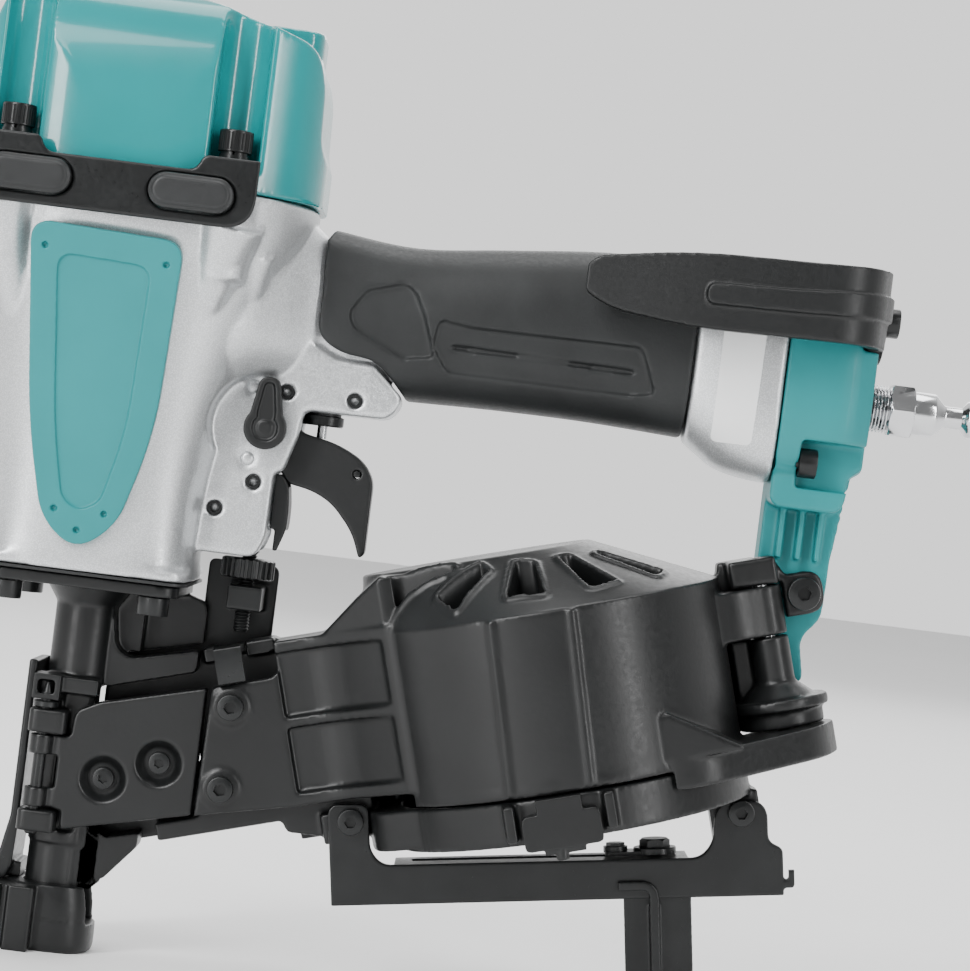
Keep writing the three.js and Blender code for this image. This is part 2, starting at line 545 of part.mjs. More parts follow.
add("arm_guide", cut(
  plate(outline([
    [48.5, 124.4], [50, 124.4], [50, 118.4], [51.2, 118.4], [53.2, 124.6, 2], [53.2, 131, 2], [52.4, 137, 1],
    [50.4, 139.8, 1], [48.5, 139.8],
  ]), -7.6, 7.6, { bevel: 0.4 }),
  box(46, 49.8, -3, 3, 117, 142), box(46, 56, -6.4, 6.4, 136.4, 142), box(46, 56, -6.2, 8, 117, 124.2),
), blackPlastic);

// ---------------------------------------------------------------- nose and contact arm
function nose() {
  const flange = slab(outline([[-27, -28, 6], [27, -28, 6], [27, 28, 6], [-27, 28, 6]]),
    NOSE.flangeBase, NOSE.flangeTop);
  const neck = post(0, 0, 30, 104, NOSE.tube, { sides: 20 });
  const tip = post(0, 0, NOSE.base, 40, NOSE.tip, { sides: 16 });
  const root = bar([0, 0, 97], [0, 0, NOSE.flangeBase + 0.5], NOSE.tube, { sides: 20, top: 12.5 });
  const beam = plate(outline([
    [4, 97], [4, 73, 2], [12, 75.6], [33, 81.6, 1], [33, 88, 1], [14, 83.4, 3], [9.6, 86, 3], [8, 97],
  ]), -4, 6);
  const backWeb = plate(outline([[12, 84], [33, 89], [33, 100.8, 2], [26, 103], [12, 103]]), 10, 12.4);
  const backRib = box(4, 16, 3, 12.4, 85, 103);
  const gusset = plate(outline([
    [4, 38], [4, 17, 1], [11.4, 18], [22.7, 31.4, 1], [22.7, 35.4], [14, 33.2],
  ]), -6, 6);
  const knuckles = [[60.8, 67.4], [33.4, 39.4]].map(([z0, z1]) => join(
    slab(outline([[-10.6, -16.4, 2.4], [0, -16.4, 2], [0, -9, 1], [-2, -4], [-10.6, -4]]), z0, z1),
  ));
  const window = join(
    box(-10.6, -3, -15, -4, 70, 77),
    box(-3.2, 7.4, -13, -4, 72.2, 76.8),
  );
  const windowHole = box(-9.2, -4.6, -18, -11, 71.6, 75.4);
  const pinHole = post(DOOR_HINGE.x, DOOR_HINGE.y, 30, 74, DOOR_HINGE.pin + GAP, { sides: 8 });
  const driverBore = post(0, 0, 0, 115, NOSE.bore, { sides: 16 });
  const nailSlot = box(0, 14, -5.6, 5.6, 14.4, 75);
  const doorPocket = box(-2.2, 14, -20, -7, 33.4, 72.2);
  const knuckleRoom = box(-11, -2.2, -20, -9.4, 39.7, 60.5);
  const bolts = [-1, 1].flatMap((sx) => [-1, 1].map((sy) =>
    post(sx * NOSE_BOLT.x, sy * NOSE_BOLT.y, 96, 108, NOSE_BOLT.shank + GAP, { sides: 8 })));
  const body = join(flange, neck, tip, root, beam, backWeb, backRib, gusset);
  return cut(join(cut(body, doorPocket, knuckleRoom), ...knuckles, window), windowHole, pinHole, driverBore,
    nailSlot, ...bolts);
}
add("nose", nose(), blackSteel);
function noseGasket() {
  const plan = outline([[-29.2, -30.4, 7], [29.2, -30.4, 7], [29.2, 30.4, 7], [-29.2, 30.4, 7]]);
  const holes = [-1, 1].flatMap((sx) => [-1, 1].map((sy) =>
    post(sx * NOSE_BOLT.x, sy * NOSE_BOLT.y, 100, 110, NOSE_BOLT.shank + GAP, { sides: 8 })));
  const sheet = slab(plan, NOSE.flangeTop + GAP, BODY_BASE - GAP);
  return cut(sheet, post(0, 0, 100, 110, 12, { sides: 16 }), ...holes);
}
add("nose_gasket", noseGasket(), bumperRubber);

function noseBolt(x, y) {
  const top = NOSE.flangeBase - GAP;
  const head = post(x, y, top - 5, top, NOSE_BOLT.head, { sides: 16 });
  const shank = post(x, y, top - 3, 113, NOSE_BOLT.shank, { sides: 8 });
  return cut(join(head, shank), post(x, y, top - 6, top - 2.4, 2.2, { sides: 6 }));
}
let noseBoltNumber = 0;
for (const sx of [-1, 1])
  for (const sy of [-1, 1])
    add(`nose_bolt_${++noseBoltNumber}`, noseBolt(sx * NOSE_BOLT.x, sy * NOSE_BOLT.y), blackSteel);

function contactFoot() {
  const ring = loft([
    ringAt(0, 0.6, 11.4, 12.2, 2.6, 32), ringAt(2, 0.4, 12.6, 13, 2.6, 32), ringAt(12, 0, 12.6, 13, 2.6, 32),
    ringAt(18.6, -0.6, 12, 12.4, 2.6, 32),
  ]);
  const bore = post(0, 0, -1, 20, NOSE.tip + GAP, { sides: 16 });
  const gussetRoom = box(3, 16, -7.6, 7.6, 8, 20);
  const block = slab(outline([[-17, -17, 1.5], [-3, -17, 1], [-3, 17, 1], [-17, 17, 1.5]]), 0, 18);
  const groove = box(-12.4, -10.2, -20, -15, -1, 19);
  return cut(join(ring, block), bore, gussetRoom, groove);
}
add("contact_foot", contactFoot(), blackSteel);

// Strap in front of the nose, side plate behind it, and the lug that carries the depth screw.
function contactArm() {
  const strap = plate(outline([
    [-17, 18.4], [-13, 18.4], [-11.4, 22], [-11, 36], [-11, 80], [-13.4, 80], [-13.4, 36], [-15.6, 24],
  ]), -7, 17);
  const sidePlate = plate(outline([
    [-13.4, 70], [2, 76, 3], [42, 76], [51.6, 78.6, 2], [51.6, 113.6, 3], [31.4, 113.6, 2], [31.4, 89.4, 2],
    [2, 89.4], [-6, 80], [-13.4, 80],
  ]), 14.6, 17);
  const lug = box(38.8, 48.4, -4, 16, 100.6, 107.4);
  const stemHole = post(WHEEL.x, WHEEL.y, 98, 110, 2.2 + GAP, { sides: 8 });
  const springSeat = box(4, 12, 16.5, 26, 76, 79);
  return cut(join(strap, sidePlate, lug, springSeat), stemHole);
}
add("contact_arm", contactArm(), blackSteel);
add("contact_link", join(
  post(WHEEL.x, WHEEL.y, 94.2, 119, 2.2, { sides: 8 }),
  plate(outline([[40, 117], [46, 117], [46, 131, 1.5], [42, 131, 1.5], [40, 124, 2]]), -2.4, 2.8),
), blackSteel);

function depthWheel() {
  const { x, y, r, z0, z1 } = WHEEL;
  const knurl = Array.from({ length: 24 }, (_, i) => {
    const a = (i * Math.PI) / 12;
    const at = r + (i % 2 ? 0 : -0.5);
    return [x + at * Math.cos(a), y + at * Math.sin(a)];
  });
  return cut(slab(outline(knurl), z0, z1), post(x, y, z0 - 1, z1 + 1, 2.2 + GAP, { sides: 8 }));
}
add("depth_wheel", depthWheel(), blackSteel);

// Round wire wound about a vertical axis.
function spring(x, y, z0, z1, radius, wire, turns) {
  class Helix extends THREE.Curve {
    getPoint(t) {
      const a = 2 * Math.PI * turns * t;
      const z = z0 + wire + (z1 - z0 - 2 * wire) * t;
      return new THREE.Vector3(x + radius * Math.cos(a), y + radius * Math.sin(a), z);
    }
  }
  const section = new THREE.Shape(oval(wire, wire, 2, 4).map((p) => new THREE.Vector2(...p)));
  const options = { steps: turns * 7, extrudePath: new Helix(), bevelEnabled: false };
  return solid(new THREE.ExtrudeGeometry(section, options));
}
add("contact_spring", spring(8, 21.4, 79.2, NOSE.flangeBase - GAP, 3.2, 0.55, 7), brightSteel);

// ---------------------------------------------------------------- door
function door() {
  const face = plate(outline([
    [1.2, 34.4, 1.5], [37.2, 42.8, 1], [37.2, 78.4, 1], [8, 70.8, 1], [1.8, 67.6, 2], [1.2, 60.4, 1],
    [-1.6, 60.4, 1], [-1.6, 39.8, 1], [1.2, 39.8, 1],
  ]), -13.4, -7.4, { bevel: 0.5 });
  const dimples = DOOR_SCREWS.map(([x, z]) => cross(x, z, -13.8, -10.6, 6.9, { sides: 24, top: 3.8 }));
  const holes = DOOR_SCREWS.map(([x, z]) => cross(x, z, -15, -5, 1.9, { sides: 8 }));
  const bosses = [[40.2, 45.6], [54.8, 60.3]].map(([z0, z1]) => join(
    post(DOOR_HINGE.x, DOOR_HINGE.y, z0, z1, 3.2),
    box(DOOR_HINGE.x, 0, -13.2, -10.6, z0, z1),
  ));
  const pinHole = post(DOOR_HINGE.x, DOOR_HINGE.y, 30, 70, DOOR_HINGE.pin + GAP, { sides: 8 });
  return cut(join(cut(face, ...dimples), ...bosses), ...holes, pinHole);
}
add("door", door(), blackSteel);
DOOR_SCREWS.forEach(([x, z], i) => {
  const screw = join(cross(x, z, -12.6, -10.7, 3), cross(x, z, -11, -6.6, 1.5, { sides: 8 }));
  add(`door_screw_${i + 1}`, cut(screw, cross(x, z, -13, -11.6, 1.4, { sides: 6 })), blackSteel);
});
add("door_hinge_pin", join(
  post(DOOR_HINGE.x, DOOR_HINGE.y, 32.4, 72, DOOR_HINGE.pin, { sides: 8 }),
  bar([DOOR_HINGE.x, DOOR_HINGE.y, 72], [DOOR_HINGE.x, DOOR_HINGE.y, 74.6], 1.4, { sides: 14, top: 0.6 }),
  post(DOOR_HINGE.x, DOOR_HINGE.y, 67.7, 69.6, 3.4),
), brightSteel);

// ---------------------------------------------------------------- magazine
// Half of the drum's outline at one height, as a ring of points closed along v = seam.
function halfRing(side, w, cu, ru, rv, seam, count = 17) {
  const least = side * (seam - DRUM.v) + 1e-3;
  const points = Array.from({ length: count }, (_, i) => {
    const t = (Math.PI * i) / (count - 1);
    return [cu - ru * Math.cos(t), DRUM.v + side * Math.max(rv * Math.sin(t), least), w];
  });
  points.unshift([cu - ru, seam, w]);
  points.push([cu + ru, seam, w]);
  return side > 0 ? points.reverse() : points;
}

// The slope from the neck's roof up to the drum's crown.
function shoulder(v0, v1) {
  const slope = plate(outline([
    [86, 72.8], [92, 74.8], [103.4, 83.6], [110.4, DRUM.crown - 0.4], [124, 87], [124, 70], [88, 70],
  ]), v0, v1);
  const plan = slab(outline([
    [85, -15.2], [90, -16, 10], [110, -31.4], [126, -31.4], [126, 27], [112, 27], [97, 9.6, 8], [85, 9.6],
  ]), 72.4, 90);
  return slope.intersect(plan);
}

// One half of the drum and whatever is joined to its outside, hollowed past its open faces.
function halfDrum(side, seam, base, extra) {
  const shell = (inset, past) => {
    const [r, edge] = [DRUM.r - inset, seam - side * past];
    return loft([
      halfRing(side, base - past, DRUM.u, r, r, edge),
      halfRing(side, DRUM.rim - inset / 3, DRUM.u, r, r, edge),
      halfRing(side, DRUM.crown - inset, CROWN.u, CROWN.ru - inset / 2, CROWN.rv - inset / 2, edge),
    ]);
  };
  return cut(join(shell(0, 0), extra), shell(DRUM.wall, 1));
}

// Where the drum opens into the feed channel.
const neckRoom = (w0, w1) => slab(outline([
  [76, -10.2], [96, -13, 8], [116, -36], [116, 30], [96, 7], [76, 6.2],
]), w0, w1);

// Five slots fan out down the drum's sloping top: [inner end, outer end, inner and outer half width].
const VENTS = [
  [[131, -31.4], [112, -28], 0.9, 2.4],
  [[139.2, -33.6], [127.4, -41], 1.7, 4.2],
  [[150.2, -32.6], [148.8, -46.8], 2.4, 5],
  [[161, -28.6], [170, -42.3], 1.7, 4.4],
  [[170.4, -22.6], [186, -29], 1.2, 3.3],
];
function ventSlots() {
  return VENTS.map(([inner, outer, narrow, wide]) => {
    const [from, to] = [new THREE.Vector2(...inner), new THREE.Vector2(...outer)];
    const along = to.clone().sub(from).normalize();
    const across = new THREE.Vector2(-along.y, along.x);
    const corner = (end, reach) => [...end.clone().addScaledVector(across, reach), 0.8];
    return slab(outline([corner(from, -narrow), corner(to, -wide), corner(to, wide), corner(from, narrow)]), 66, 96);
  });
}

function magazineCap() {
  const seam = -0.4;
  const drum = halfDrum(-1, seam, DRUM.seam + GAP, shoulder(-31, seam));
  const wall = [[78, -15.2], [90, -16, 10], [110, -32, 6], [113, -32]];
  const neck = cut(
    join(
      slab(outline([...wall, [113, -10], [78, -10]]), 28.4, 34),
      slab(outline([...wall, [113, seam], [78, seam]]), 33.4, 74.6),
    ),
    neckRoom(30, 71.8),
  );
  const pocket = outline([[80.6, -18.4], [80.6, -13.4, 1], [92, -14.2, 8], [108, -30, 3], [108, -40], [86, -40]]);
  const pockets = [[32, 50.4], [53.2, 71.4]].map(([w0, w1]) => slab(pocket, w0, w1));
  const frontPlate = plate(outline([
    [48.6, 30.6], [79, 28.4], [79, 74.6, 1], [78.4, 66.4, 2], [75.6, 64.8, 1], [59.2, 64.8, 1],
  ]), -15.2, -10.2);
  const { u, v, pin, knuckle, disc } = DRUM_HINGE;
  const bracket = outline([[192, -16], [196, -24, 2], [206, -15, 4], [u, v - knuckle], [u, v + 2], [200, -2]]);
  const upper = join(post(u, v, 54.2, 68, knuckle), slab(bracket, 54.2, 68));
  const lobe = slab(outline([
    [176, -47, 6], [190, -47, 16], [224, -22, 14], [229, -7, 10], [226, 1, 6], [218, 3.4, 4], [209, 2.6, 3],
    [206, -5], [198, -20],
  ]), 19.4, 28.2, { steps: 6 });
  const wing = plate(outline([[176, 27.6], [176, 38, 1], [181, 40.4, 1], [200, 28.4], [200, 27.6]]), -47, -30);
  const trayRoom = post(DRUM.u, DRUM.v, 5, DRUM.seam + GAP, DRUM.r + 0.6, { sides: 24 });
  const inside = post(DRUM.u, DRUM.v, DRUM.seam, DRUM.rim, DRUM.r - DRUM.wall, { sides: 24 });
  const pinHole = post(u, v, 10, 70, pin + GAP, { sides: 8 });
  const body = join(drum, neck, frontPlate, upper, lobe, wing);
  const farSide = box(50, 203, seam, 40, 20, 100);
  const postRoom = post(u, v, 28.2, 54.2, disc + 0.6, { sides: 24 });
  const screwHoles = CAP_SCREWS.map(([a, b]) => bar([a, -18, b], [a, -5, b], 2.1, { sides: 8 }));
  return cut(
    body, ...pockets, ...ventSlots(), trayRoom, inside, pinHole, farSide, postRoom, ...screwHoles,
  );
}
add("magazine_cap", magazineCap(), blackPlastic, magazine);
CAP_SCREWS.forEach(([a, b], i) => {
  const screw = join(cross(a, b, -18.8, -15.5, 3.9), cross(a, b, -16, -9, 1.8, { sides: 8 }));
  const body = cut(screw, cross(a, b, -20, -17.2, 1.9, { sides: 6 }));
  add(`magazine_cap_screw_${i + 1}`, body, blackSteel, magazine);
});

function magazineBase() {
  const seam = 0.2;
  const drum = halfDrum(1, seam, 14, shoulder(seam, 27));
  const trayFront = outline([[96, -9.6, 3], [98, -22, 8], [118, -34], [118, 9.6], [96, 9.6]]);
  const tray = cut(
    join(
      post(DRUM.u, DRUM.v, DRUM.floor, DRUM.seam - GAP, DRUM.r - 0.4, { sides: 24 }),
      slab(trayFront, DRUM.floor + 1, DRUM.seam - GAP),
    ),
    post(DRUM.u, DRUM.v, DRUM.floor + 2.4, DRUM.seam + 2, DRUM.r - DRUM.wall - 0.6, { sides: 24 }),
  );
  const neck = cut(
    slab(outline([[76, 6.2], [76, 9.6], [97, 9.6, 8], [112, 30], [116, 28], [116, 0.4], [76, 0.4]]), 17.8, 74.6),
    neckRoom(23, 71.8),
  );
  const backPlate = plate(outline([
    [16.4, 24.7], [72, 24.7], [73, 21.4], [86, 17.8, 2], [92, 20], [92, 74.6], [29.3, 74.6], [16.9, 32],
  ]), 6.4, 9.6);
  const beam = plate(outline([
    [37, 24.7], [72, 24.7], [73, 21.4, 1], [85.4, 17.8], [98, 16.6], [98, 31.6], [51, 31.6], [49, 29.8],
    [37, 29.8],
  ]), -9.6, 9.6);
  const feedWay = box(33, 51, 4, 12, 43.6, 50.4);
  const railLugs = [
    box(83, 94, -12.8, -9, 16.6, 25), box(190, 204, -12.8, -4, -1, 13), box(98, 106, -9.6, 9.6, 12, 23.6),
  ];
  const { u, v, pin, knuckle, disc } = DRUM_HINGE;
  const hingeFoot = join(
    post(u, v, 28.6, 33.6, 11.8, { sides: 24 }), post(u, v, 33.4, 36.6, disc, { sides: 24 }),
    post(u, v, 36.4, 41, disc - 3, { sides: 24, top: knuckle }), post(u, v, 40, 53.8, knuckle),
  );
  const spine = join(
    plate(outline([
      [199, 28.6], [213.4, 28.6], [213.4, 38.4], [209, 38.4], [205.6, 44], [215, 76], [204, 76], [199, 56],
    ]), ARM.near - GAP, 9),
    box(203.6, u - 1, v + 2, ARM.near, 28.6, 53.8),
    box(206, u + 5, v - 4.4, ARM.near - GAP, 68.4, 76),
    plate(outline([
      [u, 68.4], [u, 76], [219, 76], [222, 70], [232, 70, 5.4], [232, 58, 5.4], [u + 6.2, 58], [u + 6.2, 68.4],
    ]), -3.6, ARM.near - GAP),
  );
  const latchEars = [[57.4, 61], [69.4, 77.6]].map(([a, b]) => box(a, b, -3, 9.6, 71.4, 75.6));
  const latchHole = bar([50, LATCH.v, LATCH.w], [76, LATCH.v, LATCH.w], 1.5, { sides: 8 });
  const earHole = bar([EAR_SCREW.u, -8, EAR_SCREW.w], [EAR_SCREW.u, 6, EAR_SCREW.w], 2.3, { sides: 8 });
  const body = join(drum, tray, neck, backPlate, beam, ...railLugs, ...latchEars, hingeFoot, spine);
  return cut(
    body, neckRoom(32, 71.8), feedWay, earHole, latchHole, post(u, v, 20, 80, pin + GAP, { sides: 8 }),
    post(DRUM.u, DRUM.v, 5, 20, 6.4, { sides: 16 }),
    post(DRUM.u, DRUM.v, DRUM.floor + 2.4, DRUM.rim, DRUM.r - DRUM.wall - 0.6, { sides: 24 }),
  );
}
add("magazine_base", magazineBase(), blackPlastic, magazine);
add("bracket_screw", cut(
  join(
    bar([EAR_SCREW.u, -7.4, EAR_SCREW.w], [EAR_SCREW.u, -3.9, EAR_SCREW.w], 4.6, { sides: 16 }),
    bar([EAR_SCREW.u, -4, EAR_SCREW.w], [EAR_SCREW.u, 11, EAR_SCREW.w], 2, { sides: 8 }),
  ),
  bar([EAR_SCREW.u, -8, EAR_SCREW.w], [EAR_SCREW.u, -5.6, EAR_SCREW.w], 2, { sides: 6 }),
), blackSteel, magazine);
const hingePin = post(DRUM_HINGE.u, DRUM_HINGE.v, 18, 75.6, DRUM_HINGE.pin, { sides: 8 });
add("magazine_hinge_pin", hingePin, brightSteel, magazine);

// Platform that carries the coil; its hub ends in the button under the tray.
add("nail_support", join(
  post(DRUM.u, DRUM.v, 8.6, 58, 5.6, { sides: 16 }), post(DRUM.u, DRUM.v, 17, 19, 36, { sides: 40 }),
), blackPlastic, magazine);

add("cap_catch", join(
  plate(outline([
    [138, 10.5, 1.5], [159, 10.5, 1.5], [159, 20, 2], [154.6, 20], [154.6, 23.8], [142.4, 23.8], [142.4, 20],
    [138, 20, 2],
  ]), -57, -54),
  bar([147.5, -55.3, 7.2], [147.5, -55.3, 12], 1.7),
), blackPlastic, magazine);

add("latch_lever", join(
  profile(outline([
    [-17.4, 65.2], [-17.4, 75.2], [LATCH.v, 75.2], [LATCH.v, 73.6], [-15.8, 73.6], [-15.8, 65.2],
  ]), 61.4, 69),
  bar([61.4, LATCH.v, LATCH.w], [69, LATCH.v, LATCH.w], 1.7),
  bar([58, LATCH.v, LATCH.w], [72.4, LATCH.v, LATCH.w], 1.2),
), blackSteel, magazine);

// Air-driven feeder on the far side of the channel.
add("feed_cylinder", cut(
  join(bar([54, 19.4, 47], [90, 19.4, 47], 8.4), box(56, 88, 9.9, 19, 40, 54)),
  bar([50, 19.4, 47], [84, 19.4, 47], 3.2),
), blackSteel, magazine);
add("feed_pawl", join(
  bar([42, 19.4, 47], [70, 19.4, 47], 2.8), box(34, 44, 9.9, 23, 43, 51),
  box(35, 40, 4.6, 11, 44.4, 49.6),
), brightSteel, magazine);

// ---------------------------------------------------------------- adjustable shingle guide
function guideRail() {
  const { a0, a1, low, high } = RAIL;
  const web = plate(outline([
    [a0, low], [a1, low], [a1, high + 2, 1.5], [203, high + 4, 2], [203, 37.6, 6], [188.6, 37.6, 6],
    [187.6, high + 4, 3], [184, high, 3], [96, high, 3], [92.6, high + 4, 3], [92.6, 39, 3], [a0 - 0.4, 39, 3],
  ]), -15.3, -13.3);
  const flange = box(99, 181, -15.2, 3, high - 2, high);
  const slot = box(104, 176, -6.6, -2.2, high - 4, high + 2);
  const stop = plate(outline([
    [a1 - 1, 13], [a1 + 3, 13, 1], [a1 + 3, 18], [a1 + 1.4, 18], [a1 + 1.4, 15.4], [a1 - 1, 15.4],
  ]), -15.3, -13.3);
  const holes = RAIL_SCREWS.map(([a, b]) => bar([a, -18, b], [a, -10, b], 2.3, { sides: 8 }));
  return cut(join(web, flange, stop), slot, ...holes);
}
add("guide_rail", guideRail(), blackSteel, guide);
RAIL_SCREWS.forEach(([a, b], i) => {
  const screw = bar([a, -19, b], [a, -15.6, b], 3.6);
  add(`rail_screw_${i + 1}`, cut(join(screw, bar([a, -16, b], [a, -13.4, b], 2, { sides: 8 })),
    bar([a, -20, b], [a, -17.4, b], 1.7, { sides: 6 })), blackSteel, guide);
});

// The foot hangs behind the rail's web, and a plate over the flange clamps it.
function guideFoot() {
  const { a, half } = FOOT;
  const hanger = box(a - half, a + half, -13, -11.4, -28, 19.7);
  const shelf = box(a - half, a + half, -12, 4, 18, 19.7);
  return join(hanger, shelf);
}
const footInTool = geometryOf(guideFoot()).rotateY(-RAIL_TILT);
const aboveGround = solid(footInTool).intersect(box(100, 230, -40, 40, 0, 80));
const lip = slab(outline([[157.6, -13.2], [178.6, -13.2], [178.6, -4, 1.5], [157.6, -4, 1.5]]), 0, 1.7)
  .intersect(box(159, 179.6, -14, 0, -1, 3));
add("guide_foot", join(aboveGround, lip), blackSteel);
add("clamp_bolt", join(
  post(FOOT.a, -4.4, 24, 26, 4.3, { sides: 6 }), post(FOOT.a, -4.4, RAIL.high + GAP, 24.2, 6, { sides: 20 }),
  post(FOOT.a, -4.4, 20, 24, 1.9, { sides: 8 }),
), blackSteel, guide);

// The origin is the middle of the bottom of the whole tool's box.
const bounds = new THREE.Box3().setFromObject(nailer, true);
const middle = bounds.getCenter(new THREE.Vector3());
nailer.position.set(-middle.x, -middle.y, -bounds.min.z);

export default nailer;
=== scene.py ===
"""A pneumatic coil roofing nailer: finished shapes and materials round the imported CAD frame.

Shapes are drawn in millimetres in one of three frames, as the CAD model is: TOOL has its origin
where the drive axis leaves the contact foot, MAG is tilted with the magazine, and GUIDE with the
shingle guide's rail. +X runs back along the handle and -Y is the side where the magazine opens.
"""

import json
import math

import bmesh
import bpy
from mathutils import Matrix, Vector


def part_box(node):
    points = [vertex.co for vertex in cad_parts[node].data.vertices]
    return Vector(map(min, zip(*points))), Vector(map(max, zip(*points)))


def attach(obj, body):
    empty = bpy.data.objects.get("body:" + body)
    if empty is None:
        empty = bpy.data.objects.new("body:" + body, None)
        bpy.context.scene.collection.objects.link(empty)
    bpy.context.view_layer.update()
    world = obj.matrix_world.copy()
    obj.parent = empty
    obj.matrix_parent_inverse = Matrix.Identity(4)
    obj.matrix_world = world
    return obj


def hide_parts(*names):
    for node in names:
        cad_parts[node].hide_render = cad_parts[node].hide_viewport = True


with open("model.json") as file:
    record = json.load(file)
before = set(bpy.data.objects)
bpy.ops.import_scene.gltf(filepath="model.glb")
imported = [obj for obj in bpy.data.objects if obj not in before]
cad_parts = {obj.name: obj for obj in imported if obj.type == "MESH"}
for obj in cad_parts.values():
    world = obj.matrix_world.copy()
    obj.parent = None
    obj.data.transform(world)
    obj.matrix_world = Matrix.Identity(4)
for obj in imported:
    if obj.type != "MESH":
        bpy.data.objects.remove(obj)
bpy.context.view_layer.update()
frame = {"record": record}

MM = 0.001
FEED_TILT = math.radians(16.3)
RAIL_TILT = math.radians(8.5)
DRIVE_AXIS = (Vector(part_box("piston_driver")[0]) + Vector(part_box("piston_driver")[1])) / 2
TOOL = Matrix.Translation((DRIVE_AXIS.x, DRIVE_AXIS.y, 0)) @ Matrix.Scale(MM, 4)
MAG = TOOL @ Matrix.Rotation(-FEED_TILT, 4, "Y")
GUIDE = TOOL @ Matrix.Rotation(-RAIL_TILT, 4, "Y")
MIRROR = Matrix.Scale(-1, 4, (0, 1, 0))

NEAR, BACK, UP, DOWN = (0, -1, 0), (1, 0, 0), (0, 0, 1), (0, 0, -1)
GAP = 0.3
BOLT_X = (-30.5, 28.5)
CAP_BOLTS = [(x, y) for x in BOLT_X for y in (-37, 37)]
BOLT_SEAT = 222.4
PADS, PAD_Z = (-24.3, 19.3), 211.4
NOSE_BOLTS = [(x, y) for x in (-20.3, 20.3) for y in (-22, 22)]
MODE_X, MODE_Z, STEM_X = 44.5, 152, 59.4
WHEEL_X, WHEEL_Y = 43.4, 2
HANDLE_Z, PLUG_Z, HOOK_Z, HOOK_BACK = 187.5, 179, 203.3, 210
DRUM_U, DRUM_V, DRUM_R, WALL = 153, -4, 50, 2.6
CAP_LOW, DRUM_TOP, FEED_TOP, NECK_TOP = 24.5, 72.6, 71.8, 74.6
ROLL_PINS = [(68, 162.5), (42.8, 136.8), (33.1, 128.4), (49.1, 162.7)]
DETENTS = [(39.8, 163.2), (40.4, 143.1)]
# Slots down the drum's sloping top: inner end, outer end, inner and outer half width.
VENTS = [
    ((131, -31.4), (112, -28), 0.9, 2.4),
    ((139.2, -33.6), (127.4, -41), 1.7, 4.2),
    ((150.2, -32.6), (148.8, -46.8), 2.4, 5),
    ((161, -28.6), (170, -42.3), 1.7, 4.4),
    ((170.4, -22.6), (186, -29), 1.2, 3.3),
]
WALL_RIBS = [((110.3, 72.4), (106, 25)), ((138.4, 72.4), (136.3, 25)), ((159.9, 72.4), (157.8, 25))]
HINGE_U, HINGE_V = 214.3, -7
DOOR_SCREWS = [(11.6, 49.9), (26.5, 56)]
CAP_SCREWS = [(63.6, 58.7), (57.2, 36.8)]
LATCH_V, LATCH_W = 1, 73.5
EAR_U, EAR_W = 226.2, 63.9
RAIL_SCREWS = [(87.5, 34.4), (195.5, 34.2)]

RECORD = frame["record"]
BODY_OF = {node: body for body, nodes in RECORD["behaviour"]["bodies"].items() for node in nodes}


# ---- solids
def solid(verts, faces):
    """A closed mesh as an object of its own, with its faces pointing out."""
    mesh = bpy.data.meshes.new("solid")
    mesh.from_pydata(verts, [], faces)
    work = bmesh.new()
    work.from_mesh(mesh)
    bmesh.ops.recalc_face_normals(work, faces=work.faces)
    work.to_mesh(mesh)
    work.free()
    obj = bpy.data.objects.new("solid", mesh)
    bpy.context.scene.collection.objects.link(obj)
    return obj


def settle(obj, *used):
    """Applies the object's modifiers and deletes the objects that they used."""
    graph = bpy.context.evaluated_depsgraph_get()
    mesh = bpy.data.meshes.new_from_object(obj.evaluated_get(graph))
    obj.modifiers.clear()
    obj.data = mesh
    for tool in used:
        bpy.data.objects.remove(tool)
    return obj


def combine(operation, base, tools):
    for tool in tools:
        change = base.modifiers.new("combine", "BOOLEAN")
        change.operation = operation
        change.solver = "MANIFOLD"
        change.object = tool
    return settle(base, *tools)


def join(base, *tools):
    return combine("UNION", base, tools)


def cut(base, *tools):
    return combine("DIFFERENCE", base, tools)


def meet(base, *tools):
    return combine("INTERSECT", base, tools)


def twin(obj):
    copy = obj.copy()
    copy.data = obj.data.copy()
    bpy.context.scene.collection.objects.link(copy)
    return copy


def moved(obj, matrix):
    obj.data.transform(matrix)
    if matrix.determinant() < 0:
        obj.data.flip_normals()
    return obj


def both_sides(obj):
    return [moved(twin(obj), MIRROR), obj]


def bend(before, corner, after, radius, steps):
    """The eased points that replace one corner of an outline, or the corner itself when it is sharp."""
    corner = Vector(corner[:2])
    before, after = Vector(before[:2]) - corner, Vector(after[:2]) - corner
    reach = min(radius, before.length * 0.49, after.length * 0.49)
    if reach <= 0:
        return [corner]
    start, end = corner + before.normalized() * reach, corner + after.normalized() * reach
    turns = [k / steps for k in range(steps + 1)]
    return [start * (1 - t) ** 2 + corner * 2 * t * (1 - t) + end * t * t for t in turns]


def rounded(points, radius=0.0, steps=8):
    """A closed outline with rounded corners; a point may carry its own radius as a third number."""
    result = []
    for i, point in enumerate(points):
        own = point[2] if len(point) > 2 else radius
        result += bend(points[i - 1], point, points[(i + 1) % len(points)], own, steps)
    return [tuple(point) for point in result]


def doubled(half):
    """A symmetric outline from its near half, which runs along +X."""
    return half + [(x, -y, r) for x, y, r in reversed(half)]


def circle(x, y, radius, sides=48):
    turns = [2 * math.pi * i / sides for i in range(sides)]
    return [(x + radius * math.cos(t), y + radius * math.sin(t)) for t in turns]


def slot_outline(x, z, half, radius, sides=14):
    ends = []
    for centre, start in ((x + half - radius, -math.pi / 2), (x - half + radius, math.pi / 2)):
        for k in range(sides + 1):
            t = start + math.pi * k / sides
            ends.append((centre + radius * math.cos(t), z + radius * math.sin(t)))
    return ends


